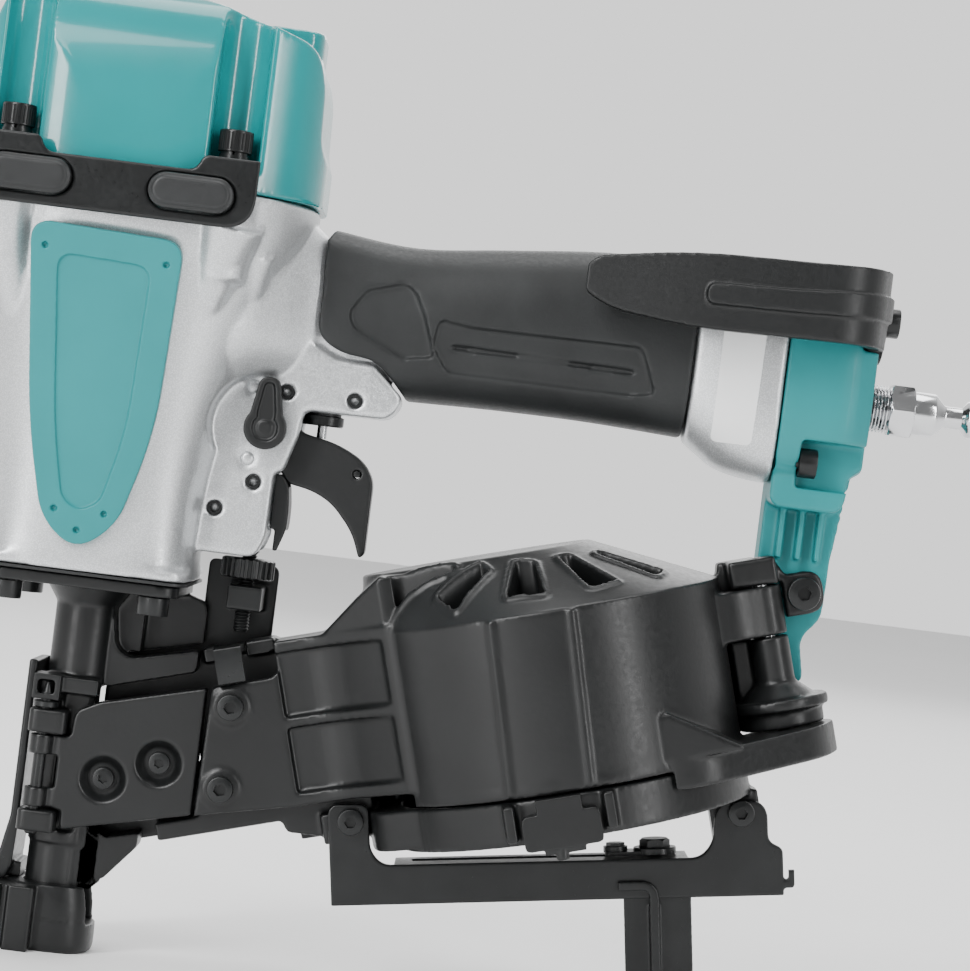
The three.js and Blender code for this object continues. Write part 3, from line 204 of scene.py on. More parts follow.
def ribbon(points, thickness, steps=10):
    """The outline of a strip of even thickness along an open path with rounded corners."""
    middle = [Vector(points[0][:2])]
    for before, corner, after in zip(points, points[1:], points[2:]):
        own = corner[2] if len(corner) > 2 else 0.01
        middle += bend(before, corner, after, own, steps)
    middle.append(Vector(points[-1][:2]))
    sides = ([], [])
    for i, point in enumerate(middle):
        along = (middle[min(i + 1, len(middle) - 1)] - middle[max(i - 1, 0)]).normalized()
        across = Vector((-along.y, along.x)) * thickness / 2
        sides[0].append(tuple(point + across))
        sides[1].append(tuple(point - across))
    return sides[0] + sides[1][::-1]


PLANES = {
    "xz": lambda a, b, depth: (a, depth, b),
    "xy": lambda a, b, depth: (a, b, depth),
    "yz": lambda a, b, depth: (depth, a, b),
}


def prism(points, low, high, plane="xz"):
    place = PLANES[plane]
    count = len(points)
    verts = [place(a, b, depth) for depth in (low, high) for a, b in points]
    faces = [tuple(range(count)), tuple(range(count, 2 * count))[::-1]]
    faces += [(i, (i + 1) % count, count + (i + 1) % count, count + i) for i in range(count)]
    return solid(verts, faces)


def slab(points, low, high, plane="xz", steps=8):
    """A flat piece with a rounded outline, seen from the side unless it says otherwise."""
    return prism(rounded(points, steps=steps), low, high, plane)


def plan(points, low, high):
    """A slab whose outline is seen from above."""
    return slab(points, low, high, "xy")


def box(x0, x1, y0, y1, z0, z1):
    return prism([(x0, y0), (x1, y0), (x1, y1), (x0, y1)], z0, z1, "xy")


def loft(rings):
    """A skin over rings with equally many points, closed at both ends."""
    count = len(rings[0])
    verts = [point for ring in rings for point in ring]
    faces = []
    for k in range(len(rings) - 1):
        for i in range(count):
            a, b = k * count + i, k * count + (i + 1) % count
            faces.append((a, b, b + count, a + count))
    last = (len(rings) - 1) * count
    faces += [tuple(range(count)), tuple(range(last, last + count))]
    return solid(verts, faces)


def aimed(start, direction):
    """Moves a shape that stands at the origin to a start point and turns it to a direction."""
    turn = Vector(UP).rotation_difference(Vector(direction)).to_matrix().to_4x4()
    return Matrix.Translation(start) @ turn


def lathe(profile, start, direction, sides=56):
    """Turns [distance along, radius] pairs about a line; the ends are closed on the axis."""
    place = aimed(start, direction)
    return loft([
        [place @ Vector((*point, along)) for point in circle(0, 0, max(radius, 1e-4), sides)]
        for along, radius in profile
    ])


def turned(profile, x=0, y=0, sides=56):
    return lathe(profile, (x, y, 0), UP, sides)


def bar(start, end, radius, top=None, sides=48):
    start, end = Vector(start), Vector(end)
    length = (end - start).length
    return lathe([(0, radius), (length, radius if top is None else top)], start, end - start, sides)


def post(x, y, z0, z1, radius, top=None, sides=48):
    return bar((x, y, z0), (x, y, z1), radius, top, sides)


def cross(x, z, y0, y1, radius, top=None, sides=48):
    return bar((x, y0, z), (x, y1, z), radius, top, sides)


def oval(half_a, half_b, squareness, count):
    points = []
    for i in range(count):
        t = 2 * math.pi * (i + 0.5) / count
        a, b = math.cos(t), math.sin(t)
        points.append((
            half_a * math.copysign(abs(a) ** (2 / squareness), a),
            half_b * math.copysign(abs(b) ** (2 / squareness), b),
        ))
    return points


def between(a, b, c, d, t):
    """A value between b and c on the smooth curve through four values."""
    bow = (2 * a - 5 * b + 4 * c - d) * t * t + (3 * b - a - 3 * c + d) * t ** 3
    return 0.5 * (2 * b + (c - a) * t + bow)


def eased(stations, steps=6):
    """More stations between the given ones, on a smooth curve through them."""
    padded = [stations[0], *stations, stations[-1]]
    result = []
    for four in zip(padded, padded[1:], padded[2:], padded[3:]):
        result += [tuple(between(*row, k / steps) for row in zip(*four)) for k in range(steps)]
    return result + [stations[-1]]


def upright(stations, steps=6, count=120):
    """A loft of level sections: [height, middle x, half length, half width, squareness]."""
    return loft([
        [(cx + a, b, z) for a, b in oval(hx, hy, squareness, count)]
        for z, cx, hx, hy, squareness in eased(stations, steps)
    ])


def lengthwise(stations, steps=6, count=96):
    """A loft of sections across the handle: [x, middle z, half height, half width, squareness]."""
    return loft([
        [(x, a, cz + b) for a, b in oval(hy, hz, squareness, count)]
        for x, cz, hz, hy, squareness in eased(stations, steps)
    ])


def cast(obj, voxel=0.8, rounds=6):
    """Gives every edge the small radius of a casting or moulding."""
    mesh = obj.modifiers.new("even", "REMESH")
    mesh.mode = "VOXEL"
    mesh.voxel_size = voxel
    mesh.use_smooth_shade = True
    soften = obj.modifiers.new("soften", "SMOOTH")
    soften.factor = 0.5
    soften.iterations = rounds
    return settle(obj)


def crisp(obj, degrees=35):
    """Smooth shading that keeps the edges of turned and stamped parts sharp."""
    obj.data.shade_smooth()
    obj.data.set_sharp_from_angle(angle=math.radians(degrees))
    return obj


def bevelled(obj, width):
    edge = obj.modifiers.new("edge", "BEVEL")
    edge.width = width
    edge.segments = 2
    edge.limit_method = "ANGLE"
    edge.angle_limit = math.radians(35)
    return crisp(settle(obj))


def trim(name, obj, where, material, node):
    """A finished piece that rides with a CAD node and has its slot."""
    moved(obj, where)
    obj.name = obj.data.name = name
    obj.data.materials.clear()
    obj.data.materials.append(LOOK[material])
    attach(obj, BODY_OF[node])


def fine(node, obj, where, material):
    """The finished piece that takes a CAD node's place."""
    trim(node + "_fine", obj, where, material, node)
    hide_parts(node)


# ---- materials
def feed(tree, target, inputs):
    """Links or sets a node's inputs; a keyword writes the spaces of an input's name as underscores."""
    for name, value in inputs.items():
        socket = target.inputs[name.replace("_", " ")]
        if isinstance(value, bpy.types.NodeSocket):
            tree.links.new(value, socket)
        else:
            socket.default_value = value


def shader_node(tree, kind, output, **inputs):
    made = tree.nodes.new("ShaderNode" + kind)
    feed(tree, made, inputs)
    return made.outputs[output]


def shader(name, **inputs):
    material = bpy.data.materials.new(name)
    material.use_nodes = True
    tree = material.node_tree
    surface = tree.nodes["Principled BSDF"]
    feed(tree, surface, inputs)
    return material, tree, surface, shader_node(tree, "TexCoord", "Object")


def speckle(tree, place, scale, detail=2.0, rough=0.5):
    return shader_node(tree, "TexNoise", "Fac", Vector=place, Scale=scale, Detail=detail, Roughness=rough)


def spread(tree, value, low, high, start=0.3, end=0.7):
    """Maps a noise value to a range."""
    limits = {"From_Min": start, "From_Max": end, "To_Min": low, "To_Max": high}
    return shader_node(tree, "MapRange", "Result", Value=value, **limits)


def tint(tree, value, dark, light, start=0.3, end=0.7):
    ramp = tree.nodes.new("ShaderNodeValToRGB")
    for stop, position, colour in zip(ramp.color_ramp.elements, (start, end), (dark, light)):
        stop.position = position
        stop.color = (*colour, 1)
    tree.links.new(value, ramp.inputs["Fac"])
    return ramp.outputs["Color"]


def bump(tree, height, strength, distance, **before):
    return shader_node(tree, "Bump", "Normal", Height=height, Strength=strength, Distance=distance, **before)


def scaled(colour, factor):
    return tuple(min(c * factor, 1) for c in colour)


def finish(
    name, colour, roughness, metallic=0.0, coat=0.0, coat_roughness=0.1, grain=900, relief=0.02, vary=0.12,
    patch=60, specular=0.5,
):
    """Paint, plastic, rubber or metal: tone and gloss drift over patches, and a fine grain stands up."""
    material, tree, surface, place = shader(
        name, Metallic=metallic, Coat_Weight=coat, Coat_Roughness=coat_roughness,
        Specular_IOR_Level=specular,
    )
    broad = speckle(tree, place, patch, 4)
    small = speckle(tree, place, grain, 3, 0.6)
    feed(tree, surface, {
        "Base_Color": tint(tree, broad, scaled(colour, 1 - vary), scaled(colour, 1 + vary)),
        "Roughness": spread(tree, small, roughness * 0.85, min(roughness * 1.15, 1)),
        "Normal": bump(tree, small, 1.0, relief * MM),
    })
    return material


def silver_paint():
    """Silver paint on a casting: bright flakes in a grey ground, with a fine pebbled surface."""
    material, tree, surface, place = shader(
        "silver_casting", Metallic=0.7, Coat_Weight=0.15, Coat_Roughness=0.2,
    )
    flakes = shader_node(tree, "TexVoronoi", "Distance", Vector=place, Scale=2600)
    pebbles = bump(tree, speckle(tree, place, 700, 3, 0.6), 1.0, 0.035 * MM)
    feed(tree, surface, {
        "Base_Color": tint(tree, flakes, (0.74, 0.755, 0.765), (0.5, 0.515, 0.525), 0.1, 0.6),
        "Roughness": spread(tree, speckle(tree, place, 1200, 2), 0.3, 0.46),
        "Normal": bump(tree, speckle(tree, place, 90, 2), 0.5, 0.05 * MM, Normal=pebbles),
    })
    return material


LOOK = {
    "silver": silver_paint(),
    "teal_gloss": finish(
        "teal_paint", (0.006, 0.2, 0.207), 0.2, coat=0.5, coat_roughness=0.05, grain=160, relief=0.012,
        vary=0.05, patch=25, specular=0.3,
    ),
    "teal": finish(
        "teal_plastic", (0.012, 0.195, 0.205), 0.42, grain=1500, relief=0.012, vary=0.05, patch=40,
        specular=0.3,
    ),
    "rubber": finish(
        "grip_rubber", (0.014, 0.0152, 0.0155), 0.5, grain=1100, relief=0.045, vary=0.2, patch=70,
        specular=0.3,
    ),
    "pad": finish(
        "pad_rubber", (0.014, 0.015, 0.0155), 0.45, grain=900, relief=0.02, vary=0.15, specular=0.35,
    ),
    "casting": finish(
        "black_casting", (0.0055, 0.006, 0.0062), 0.36, grain=650, relief=0.03, vary=0.22, patch=55,
        specular=0.38,
    ),
    "plastic": finish(
        "black_plastic", (0.006, 0.0066, 0.0068), 0.42, grain=1200, relief=0.015, vary=0.15, specular=0.35,
    ),
    "steel_black": finish(
        "black_steel", (0.009, 0.0098, 0.01), 0.32, 0.2, grain=800, relief=0.018, vary=0.25, patch=90,
        specular=0.4,
    ),
    "steel": finish("bright_steel", (0.5, 0.505, 0.51), 0.28, 1.0, grain=1400, relief=0.006, vary=0.1),
    "plated": finish("plated_steel", (0.62, 0.625, 0.635), 0.16, 1.0, grain=500, relief=0.004, vary=0.06),
    "alloy": finish("cylinder_alloy", (0.55, 0.56, 0.57), 0.32, 1.0, grain=900, relief=0.006, vary=0.08),
    "label": finish("plain_label", (0.78, 0.79, 0.79), 0.35, grain=600, relief=0.004, vary=0.03),
}


# ---- fasteners
def screw_head(base, out, radius, height, drive, depth, points=6, knurls=0):
    """A turned head standing on its base point, with a hexagon or star drive in its top."""
    edge = min(0.35, height * 0.4)
    profile = [
        (0, radius * 0.97), (0.15, radius), (height - edge, radius),
        (height - edge * 0.3, radius - edge * 0.3), (height, radius - edge),
    ]
    head = lathe(profile, base, out, 48)
    out, base = Vector(out), Vector(base)
    ease = 0.1
    corners = [(drive, math.pi * i / 3) for i in range(6)]
    if points > 6:
        ease = 0.25
        corners = [(drive * (1 if i % 2 else 0.74), math.pi * i / 6) for i in range(12)]
    shape = rounded([(r * math.cos(t), r * math.sin(t)) for r, t in corners], ease, 3)
    socket = moved(prism(shape, 0, depth + 2, "xy"), aimed(base + out * (height - depth), out))
    grooves = []
    side = out.orthogonal().normalized()
    for i in range(knurls):
        at = Matrix.Rotation(2 * math.pi * i / knurls, 4, out) @ (side * (radius + 0.12))
        grooves.append(bar(base + at + out * 0.5, base + at + out * (height - 0.7), 0.3, sides=6))
    return cut(head, socket, *grooves)


def screw(base, out, length, shank, *head, points=6):
    """A screw whose head stands on its base point, with its shank going the other way.

    The head's numbers are its radius, its height, and its drive's radius and depth.
    """
    base, out = Vector(base), Vector(out)
    stem = bar(base - out * length, base + out * 0.3, shank, sides=24)
    return crisp(join(stem, screw_head(base, out, *head, points=points)))


def cap_bolt(x, y):
    seat = BOLT_SEAT
    head = screw_head((x, y, seat + 2.1), UP, 4.6, 5.9, 2.3, 3, knurls=30)
    lock = cut(post(x, y, seat + 1, seat + 2.3, 3.8), box(x - 0.3, x + 0.3, y - 6, y, seat, seat + 3))
    washer = post(x, y, seat, seat + 1.2, 4.1)
    return crisp(join(washer, lock, head, post(x, y, 198, seat + 1, 2.7, sides=24)))


# ---- head
BARREL = [
    (107, 0, 29.5, 31, 4.5), (118, 0, 29, 31.5, 4), (140, 0, 31, 34, 3.4), (165, 0.5, 36, 38, 3),
    (190, 2, 42.5, 41.5, 2.8), (203, 3, 46.5, 43.5, 2.8), (213.7, 3.5, 48, 44, 2.8),
]
# The near half of the barrel's flat foot, which the gasket lies against.
FOOT = [(-29.2, -30.4, 7), (29.2, -30.4, 7)]
# Sections of the handle where it grows out of the barrel, and where it widens for its end cap.
ROOT = [
    (26, 186, 27, 34, 3), (36, 186.6, 26, 29, 2.8), (45, 187, 24, 22, 2.7), (52, 187.5, 22, 16, 2.7),
    (57, 187.5, 17.4, 12.5, 2.8),
]
TAIL = [
    (160, 187, 24, 16, 3), (164, 186, 25.8, 17.2, 3), (170, 184.5, 28, 18.6, 3),
    (178, 183.5, 28.8, 18.8, 3.2), (185.2, 183, 28.8, 18.6, 3.2),
]


def swollen(stations, grow):
    """Handle sections that stand out further on every side."""
    return [(x, z, half_z + grow, half_y + grow, s) for x, z, half_z, half_y, s in stations]


def badge_place(side):
    lean = Matrix.Translation((-1, 30.6, 113)) @ Matrix.Rotation(math.radians(-7.5), 4, "X")
    return lean if side > 0 else MIRROR @ lean


def badge_outline(grow=0.0):
    size = 1 + grow
    points = [
        (-21.5, 88, 6), (20, 86.5, 6), (17.5, 34, 30), (10, 8, 12), (-0.5, 0, 12), (-10.5, 8, 12),
        (-16.5, 34, 30),
    ]
    return rounded([(x * size, 44 + (z - 44) * size, r) for x, z, r in points], steps=10)


def badge(side):
    face = prism(badge_outline(), GAP, 4.6)
    panel = rounded([
        (-13.5, 80, 5), (12, 79, 5), (10, 34, 22), (5, 14, 6), (-0.5, 11, 4), (-5.5, 14, 6), (-9.5, 34, 22),
    ], steps=10)
    dimples = [
        cross(x, z, 3.3, 5, 0.9, sides=16)
        for x, z in [(-17, 81.4), (15.8, 80), (-7.2, 11), (6.4, 11), (-0.5, 5.8)]
    ]
    face = cut(face, prism(panel, 3.7, 6), *dimples)
    return moved(cast(face, 0.32, 4), badge_place(side))


def badge_room(side):
    return moved(prism(badge_outline(0.016), 0, 40), badge_place(side))


def housing():
    barrel = upright(BARREL, count=160)
    core = lengthwise([
        (30, 187.5, 19, 13, 3), (62, 187.5, 17.5, 12.6, 3), (150, 188.5, 19, 12.6, 3),
        (160, 188.2, 19.2, 12.7, 3),
    ], 1)
    tail = lengthwise(TAIL, 4)
    root = lengthwise(ROOT, 5)
    web = slab([
        (15, 116), (46, 116, 6), (48, 122), (48.2, 140.2, 1), (50.6, 140.8), (53.6, 151), (54.4, 158.3, 2),
        (78, 158.4, 3), (81.6, 164.5, 3), (72, 173), (62, 173.4), (52, 178, 6), (46, 192), (15, 200),
    ], -14, 14)
    columns = [post(x, y * 0.94, 190, 213.7, 6.6, 8.4) for x, y in CAP_BOLTS]
    flange = plan(doubled(FOOT), 107, 110)
    bulges = [bar((x * 1.06, y * 1.02, 206), (x * 0.82, y * 0.82, 176), 9, 4) for x, y in CAP_BOLTS]
    ridges = [bar((37, y, 199), (33, y * 0.75, 172), 5.5, 3) for y in (-28, 28)]
    body = join(barrel, core, tail, root, web, flange, *columns, *bulges, *ridges)
    holes = [post(x, y, 196, 216, 3.2) for x, y in CAP_BOLTS]
    holes += [post(x, y, 100, 115, 2.9) for x, y in NOSE_BOLTS]
    pins = [cross(x, z, -15, -11, 2) for x, z in ROLL_PINS]
    rings = [cross(x, z, -15, -13.2, 2.7) for x, z in DETENTS]
    body = cut(
        body, post(0, 0, 160, 220, 31, sides=96), post(0, 0, 100, 161, 24.3, sides=96),
        bar((20, 0, HANDLE_Z), (190, 0, HANDLE_Z), 9.5), box(36, 60, -6.6, 6.6, 117, 157.8),
        box(32, 60, -7, 11, 110, 124.4), box(32, 60, -9, 20, 110, 117.4),
        cross(MODE_X, MODE_Z, -60, -14, 15.4, sides=96), box(38, 60, -4, 4, 123, 146),
        cross(MODE_X, MODE_Z, -20, 20, 3.3), post(STEM_X, 0, 150, 181, 5.2), badge_room(-1), badge_room(1),
        *holes, *pins, *rings,
    )
    return cast(body, 0.75, 6)


def roll_pin(x, z):
    """A split pin pressed into the side of the web."""
    return crisp(cut(cross(x, z, -14.1, -9, 1.9, sides=32), cross(x, z, -15, -11, 1.2, sides=32)))


def detent(x, z):
    return crisp(lathe([(0, 1.9), (1.5, 1.9), (2, 1.5), (2.15, 0.8)], (x, -12.1, z), NEAR, 32), 50)


def handle_label():
    """A plain rounded label that lies on the handle's end."""
    outline = rounded([(167, 163.8), (178.2, 163.8), (178.8, 197), (167, 197)], 1.8)
    over, under = [lengthwise(swollen(TAIL, grow), 4) for grow in (0.06, -0.6)]
    return crisp(cut(meet(prism(outline, -30, -4), over), under))


def cap_plan(front, back, w):
    near = [(front, -w * 0.72, 14), (-20, -w, 16), (22, -w, 16), (back, -w * 0.62, 14)]
    return rounded(doubled(near), steps=14)


def top_cap():
    base, top, front, back, w = 214, 267.5, -45, 52.5, 44.5
    floor = 219.8
    top_view = prism(cap_plan(front, back, w), base, top, "xy")
    side = slab([
        (front, base), (-44.5, 222, 3), (-40.5, 255, 8), (-35, top - 3.5, 8), (-12, top, 20),
        (12, top - 0.5, 20), (32, top - 6.5, 20), (47, top - 11, 6), (50, top - 20, 8), (50.5, 231, 3),
        (back, 226), (back, base),
    ], -w - 1, w + 1, steps=12)
    end = slab([
        (-w - 1, base), (-w + 1.5, 250, 12), (-w * 0.75, top - 1, 14), (w * 0.75, top - 1, 14),
        (w - 1.5, 250, 12), (w + 1, base),
    ], front - 1, back + 1, "yz", steps=12)
    boss = plan(doubled([(30, -15, 6), (47.4, -13, 6)]), 240, top - 4.4)
    body = join(meet(top_view, side, end), boss)
    flutes = []
    for x, y in CAP_BOLTS:
        flutes.append(post(x, y, floor, 272, 6.6))
        flutes.append(box(x - 6.6, x + 6.6, min(y, y * 1.7), max(y, y * 1.7), floor, 272))
    holes = [post(x, y, 210, 224, 3) for x, y in CAP_BOLTS]
    return cast(cut(
        body, *flutes, *holes, post(0, 0, 212, 232, 30.2, sides=96), post(-22, 0, 225, 271, 11.4),
        post(-22, 0, 261.7, 271, 19.5, sides=96),
    ), 0.7, 5)


def exhaust_cover():
    x, r, base, top = -22, 19, 262, 273
    shell = turned([
        (252, 8.6), (252, 11), (base, 11), (base, r), (top - 3, r), (top - 1.4, r - 0.9), (top, r - 3),
        (top, 0.01),
    ], x, 0, 80)
    hollow = post(x, 0, 250, top - 2.4, 8.6)
    room = post(x, 0, base + 1.2, top - 2.3, 15.5)
    vents = []
    for angle in (-24, -8, 8, 24):
        way = box(-28, -4, -1.5, 1.5, base + 2.2, base + 6.6)
        turn = Matrix.Translation((x, 0, 0)) @ Matrix.Rotation(math.radians(angle), 4, "Z")
        vents.append(moved(way, turn))
    return cast(cut(shell, hollow, room, *vents), 0.45, 3)


def guard_plate():
    low, dip, high = 203.4, 217.8, 222.1
    face = slab([
        (-39, low, 7), (36.6, low, 9), (36.6, high), (21.5, high, 1.5), (19.5, dip, 3), (-20.5, dip, 3),
        (-22.5, high, 1.5), (-39, high),
    ], 46.2, 48.2)
    ears = []
    for x in BOLT_X:
        ears += [box(x - 6.2, x + 6.2, 37, 47.2, high - 2, high), post(x, 37, high - 2, high, 6.2)]
    holes = [post(x, 37, 215, 228, 3.1) for x in BOLT_X]
    windows = [prism(slot_outline(x, PAD_Z, 11.8, 5.1), 43, 51) for x in PADS]
    return cast(cut(join(face, *ears), *holes, *windows), 0.38, 4)


def guard_pads():
    strip = box(-37.5, 34.5, 44.6, 45.9, PAD_Z - 5.4, PAD_Z + 5.4)
    raised = []
    for x in PADS:
        raised.append(prism(slot_outline(x, PAD_Z, 11.5, 4.8), 45.2, 50.4))
        raised.append(prism(slot_outline(x, PAD_Z, 10.3, 3.6), 50.2, 51.2))
    return cast(join(strip, *raised), 0.38, 6)


# ---- handle
GRIP = [
    (46, 187.5, 24, 16, 2.8), (58, 187, 22.6, 15.6, 2.8), (80, 186, 21.6, 16, 2.6),
    (105, 187.6, 22.6, 17, 2.5), (132, 189, 24, 17, 2.6), (160, 188.8, 25, 17.4, 2.8),
]


def grip_skin(points, depth):
    """The part of the grip's surface inside an outline, down to a depth, on both sides."""
    stretched = [(x - (x < 50) * 2 + (x > 150) * 2, *rest) for x, *rest in GRIP]
    inner = lengthwise(swollen(stretched, -depth))
    outline = rounded(points, 2)
    near = cut(prism(outline, -30, -4), twin(inner))
    return near, cut(prism(outline, 4, 30), inner)


def handle_grip():
    outer = lengthwise(GRIP)
    inner = lengthwise([
        (40, 187.5, 19.3, 13.3, 3), (62, 187.5, 17.8, 12.9, 3), (150, 188.5, 19.3, 12.9, 3),
        (161, 188.3, 19.7, 13.2, 3),
    ], 1)
    side = slab([
        (55.5, 190, 10), (54.8, 206), (57.6, 211.5, 2), (64, 214), (158.6, 216), (159.6, 195), (159.4, 163),
        (82.6, 163), (81.6, 165, 2), (75.4, 171.8, 3), (71, 174.6, 3), (62, 175.4, 5), (55.4, 179.6, 5),
    ], -30, 30)
    clear = upright([
        (150, 0.5, 36.6, 38.6, 3), (165, 0.5, 36.5, 38.5, 3), (190, 2, 43, 42, 2.8), (203, 3, 47, 44, 2.8),
        (220, 3.7, 49, 45, 2.8),
    ])
    body = cut(meet(outer, side), inner, clear, lengthwise(swollen(ROOT, GAP), 5))
    lobe = [
        (63.2, 186.4), (67.7, 193.7), (77.5, 196.5), (80.8, 195.4), (84.1, 189.4), (88.6, 177),
        (79.8, 175.6), (65.4, 182.3),
    ]
    field = [
        (88.6, 188), (98.7, 186.7), (145.3, 187.2), (150.4, 174.5), (144.3, 173.4), (92.2, 173.4),
        (87.4, 180.4),
    ]
    groove = [(92.7, 181.4), (144.2, 180.6), (144.2, 179.2), (92.7, 180)]
    for outline, depth in ((lobe, 1.3), (field, 1.3), (groove, 2.6)):
        body = cut(body, *grip_skin(outline, depth))
    return cast(body, 0.6, 3)


def end_cap():
    head = lengthwise([
        (185.6, 183, 28.8, 18.6, 3), (194, 183.2, 28.4, 18.3, 3), (204, 183.5, 27.6, 17.6, 3),
        (210.8, 184, 24, 13, 3),
    ], 4)
    arm = slab([
        (185.6, 165), (185.6, 128, 4), (188, 99.5, 3), (202.6, 99.5, 3), (200.2, 112, 3), (205.6, 118.6, 3),
        (205.8, 134), (209, 160, 4), (210, 170),
    ], 0.5, 13)
    collar = slab([(185.6, 170), (185.6, 148, 4), (206, 148, 4), (209, 170)], -12, 13)
    ribs = [box(x, x + 1.6, -3.4, 1, 134, 149) for x in (190, 195.4, 200.8)]
    notches = [cross(205.9 + (z - 119) * 0.06, z, -1, 14, 0.7, sides=8) for z in range(121, 157, 3)]
    rear = HOOK_BACK - 2.4 - GAP
    hook_seat = [
        bar((rear, 0, HOOK_Z), (220, 0, HOOK_Z), 13.9), box(rear - 1.6, 220, -30, -8, HOOK_Z - 9.4, 230),
        box(rear, 220, -9, 9, HOOK_Z - 9.4, 230), box(rear - 1.6, 220, 4, 30, HOOK_Z - 14.6, 230),
    ]
    body = cut(
        join(head, arm, collar, *ribs), *hook_seat, box(192.2, 214, -22, -7.4, 154, 167.4),
        bar((190, 0, PLUG_Z), (214, 0, PLUG_Z), 7.2), bar((180, 0, 183), (204, 0, 183), 9),
        bar((196, 0, HOOK_Z), (214, 0, HOOK_Z), 2.7), bar((180, -12, 161), (212, -12, 161), 2.3),
        bracket_hole(), *notches,
    )
    return cast(body, 0.55, 4)


def bracket_hole():
    x = EAR_U * math.cos(FEED_TILT) - EAR_W * math.sin(FEED_TILT)
    z = EAR_U * math.sin(FEED_TILT) + EAR_W * math.cos(FEED_TILT)
    return cross(x, z, -2, 16, 2.3)


def end_cap_screw():
    return screw((192.4, -12, 161), BACK, 5.4, 2, 4.1, 5, 2, 2.4)


def air_plug():
    """Threaded neck, hexagon and quick-release nose, bored right through."""
    thread = [(200, 5.6)]
    for i in range(14):
        x = 203.2 + i * 0.94
        thread += [(x, 5.75 + i * 0.02), (x + 0.4, 6.7), (x + 0.54, 6.7), (x + 0.94, 5.75 + i * 0.02)]
    thread += [(217, 5.6)]
    neck = lathe(thread, (0, 0, PLUG_Z), BACK, 64)
    hexagon = prism(circle(0, PLUG_Z, 8.1, 6), 216.8, 223.6, "yz")
    chamfer = lathe([(216.8, 7), (217.6, 8.3), (222.8, 8.3), (223.6, 7)], (0, 0, PLUG_Z), BACK, 64)
    tip = lathe([
        (223.4, 6), (223.8, 6.1), (229.4, 6.1), (229.9, 5.8), (232.4, 3.3), (233, 3.1), (237.4, 3.1),
        (238.9, 5), (239.4, 5.2), (241.8, 5.2), (242.3, 5), (244, 4.2), (244.2, 3.9),
    ], (0, 0, PLUG_Z), BACK, 64)
    bore = bar((190, 0, PLUG_Z), (250, 0, PLUG_Z), 2.1)
    return bevelled(cut(join(neck, meet(hexagon, chamfer), tip), bore), 0.12)


def hook_path(out):
    """The hook's strap from its free end round to the bolt, moved outwards."""
    return prism(ribbon([
        (127.4, -27.4 - out), (168, -32.6 - out, 60), (204, -32.6 - out, 26), (HOOK_BACK + out, -14, 20),
        (HOOK_BACK + out, 0),
    ], 4.8, 14), 180, 222, "xy")


def belt_hook():
    tall = slab([
        (126.4, 200.4, 4), (135, 196, 10), (158, 193.4, 20), (217, 194.6, 1), (217, 216.4, 1),
        (191, 215, 20), (156, 214.2, 20), (130, 210.2, 4), (126.4, 207, 3),
    ], -44, 14)
    raised = slab([
        (160, 200.4, 2.6), (183, 200.8), (217, 202.4), (217, 209.4), (183, 206.8), (160, 206, 2.6),
    ], -44, -12)
    disc = bar((HOOK_BACK - 2.4, 0, HOOK_Z), (HOOK_BACK + 2.4, 0, HOOK_Z), 12.3, sides=96)
    body = join(meet(hook_path(0), tall), meet(hook_path(1.3), raised), disc)
    return cast(cut(body, bar((200, 0, HOOK_Z), (220, 0, HOOK_Z), 2.8)), 0.45, 4)


def hook_bolt():
    face = HOOK_BACK + 2.4 + GAP
    return screw((face, 0, HOOK_Z), BACK, face - 198, 2.4, 4.2, 4.2, 2.1, 2.2)


# ---- trigger group
def trigger():
    rear = [(72, 146.4, 4), (75.6, 141.4, 3), (75.6, 120.4, 1), (74.2, 118.9, 1), (71.4, 126.2, 6)]
    side = slab([
        (39.2, 153, 3), (41, 157, 3), (49.6, 156.4, 3), (54, 152.2, 2), (64.5, 150.2, 6), *rear,
        (64.9, 133.4, 8), (59.1, 136.3, 5), (51.4, 137.6, 2), (48.6, 142.4, 3), (42, 147, 4),
    ], -6, 6)
    channel = prism([(47, 160), (47, 150.6), (56, 145.8), (68.6, 141), (73, 141), (76, 160)], -3.4, 3.4)
    body = cut(side, channel, cross(MODE_X, MODE_Z, -10, 10, 3.35), cross(70.8, 142.4, -10, 10, 1.2))
    return cast(body, 0.38, 4)


def trigger_lever():
    tongue = slab([
        (72.4, 143.8, 1), (72.2, 141.6, 1), (68.6, 142, 1), (52, 148.4), (52, 149.8), (61, 147.4),
    ], -2.6, 2.6)
    return bevelled(join(tongue, cross(70.8, 142.4, -5.8, 5.8, 0.9)), 0.25)


def mode_lever():
    x, z = MODE_X, MODE_Z
    knob = slab([
        (x - 5.9, z - 3.5, 5), (x + 5.9, z - 3.5, 5), (x + 2.6, z + 14.2, 2.4), (x - 2.6, z + 14.2, 2.4),
    ], -19.6, -14.3)
    dish = slab([
        (x - 2.9, z + 2, 2.5), (x + 2.9, z + 2, 2.5), (x + 1.3, z + 12.6, 1.2), (x - 1.3, z + 12.6, 1.2),
    ], -22, -18.7)
    disc = cross(x, z, -19.6, -14.3, 5.9)
    eye = cross(x, z, -22, -18.8, 3.6)
    shaft = [cross(x, z, -15, 16.5, 3), cross(x, z, 14.4, 16.5, 4.4), cross(x, z, -19.2, -17, 2)]
    return cast(join(cut(join(knob, disc), dish, eye), *shaft), 0.36, 3)


def valve_bushing():
    body = turned([(154.7, 5.4), (155.1, 5.8), (157.4, 5.8), (157.7, 4.9), (176, 4.9)], STEM_X, 0, 64)
    return crisp(cut(body, post(STEM_X, 0, 150, 180, 1.8)))


def valve_stem():
    return crisp(join(post(STEM_X, 0, 151.2, 179, 1.4), post(STEM_X, 0, 177, 179, 3)))


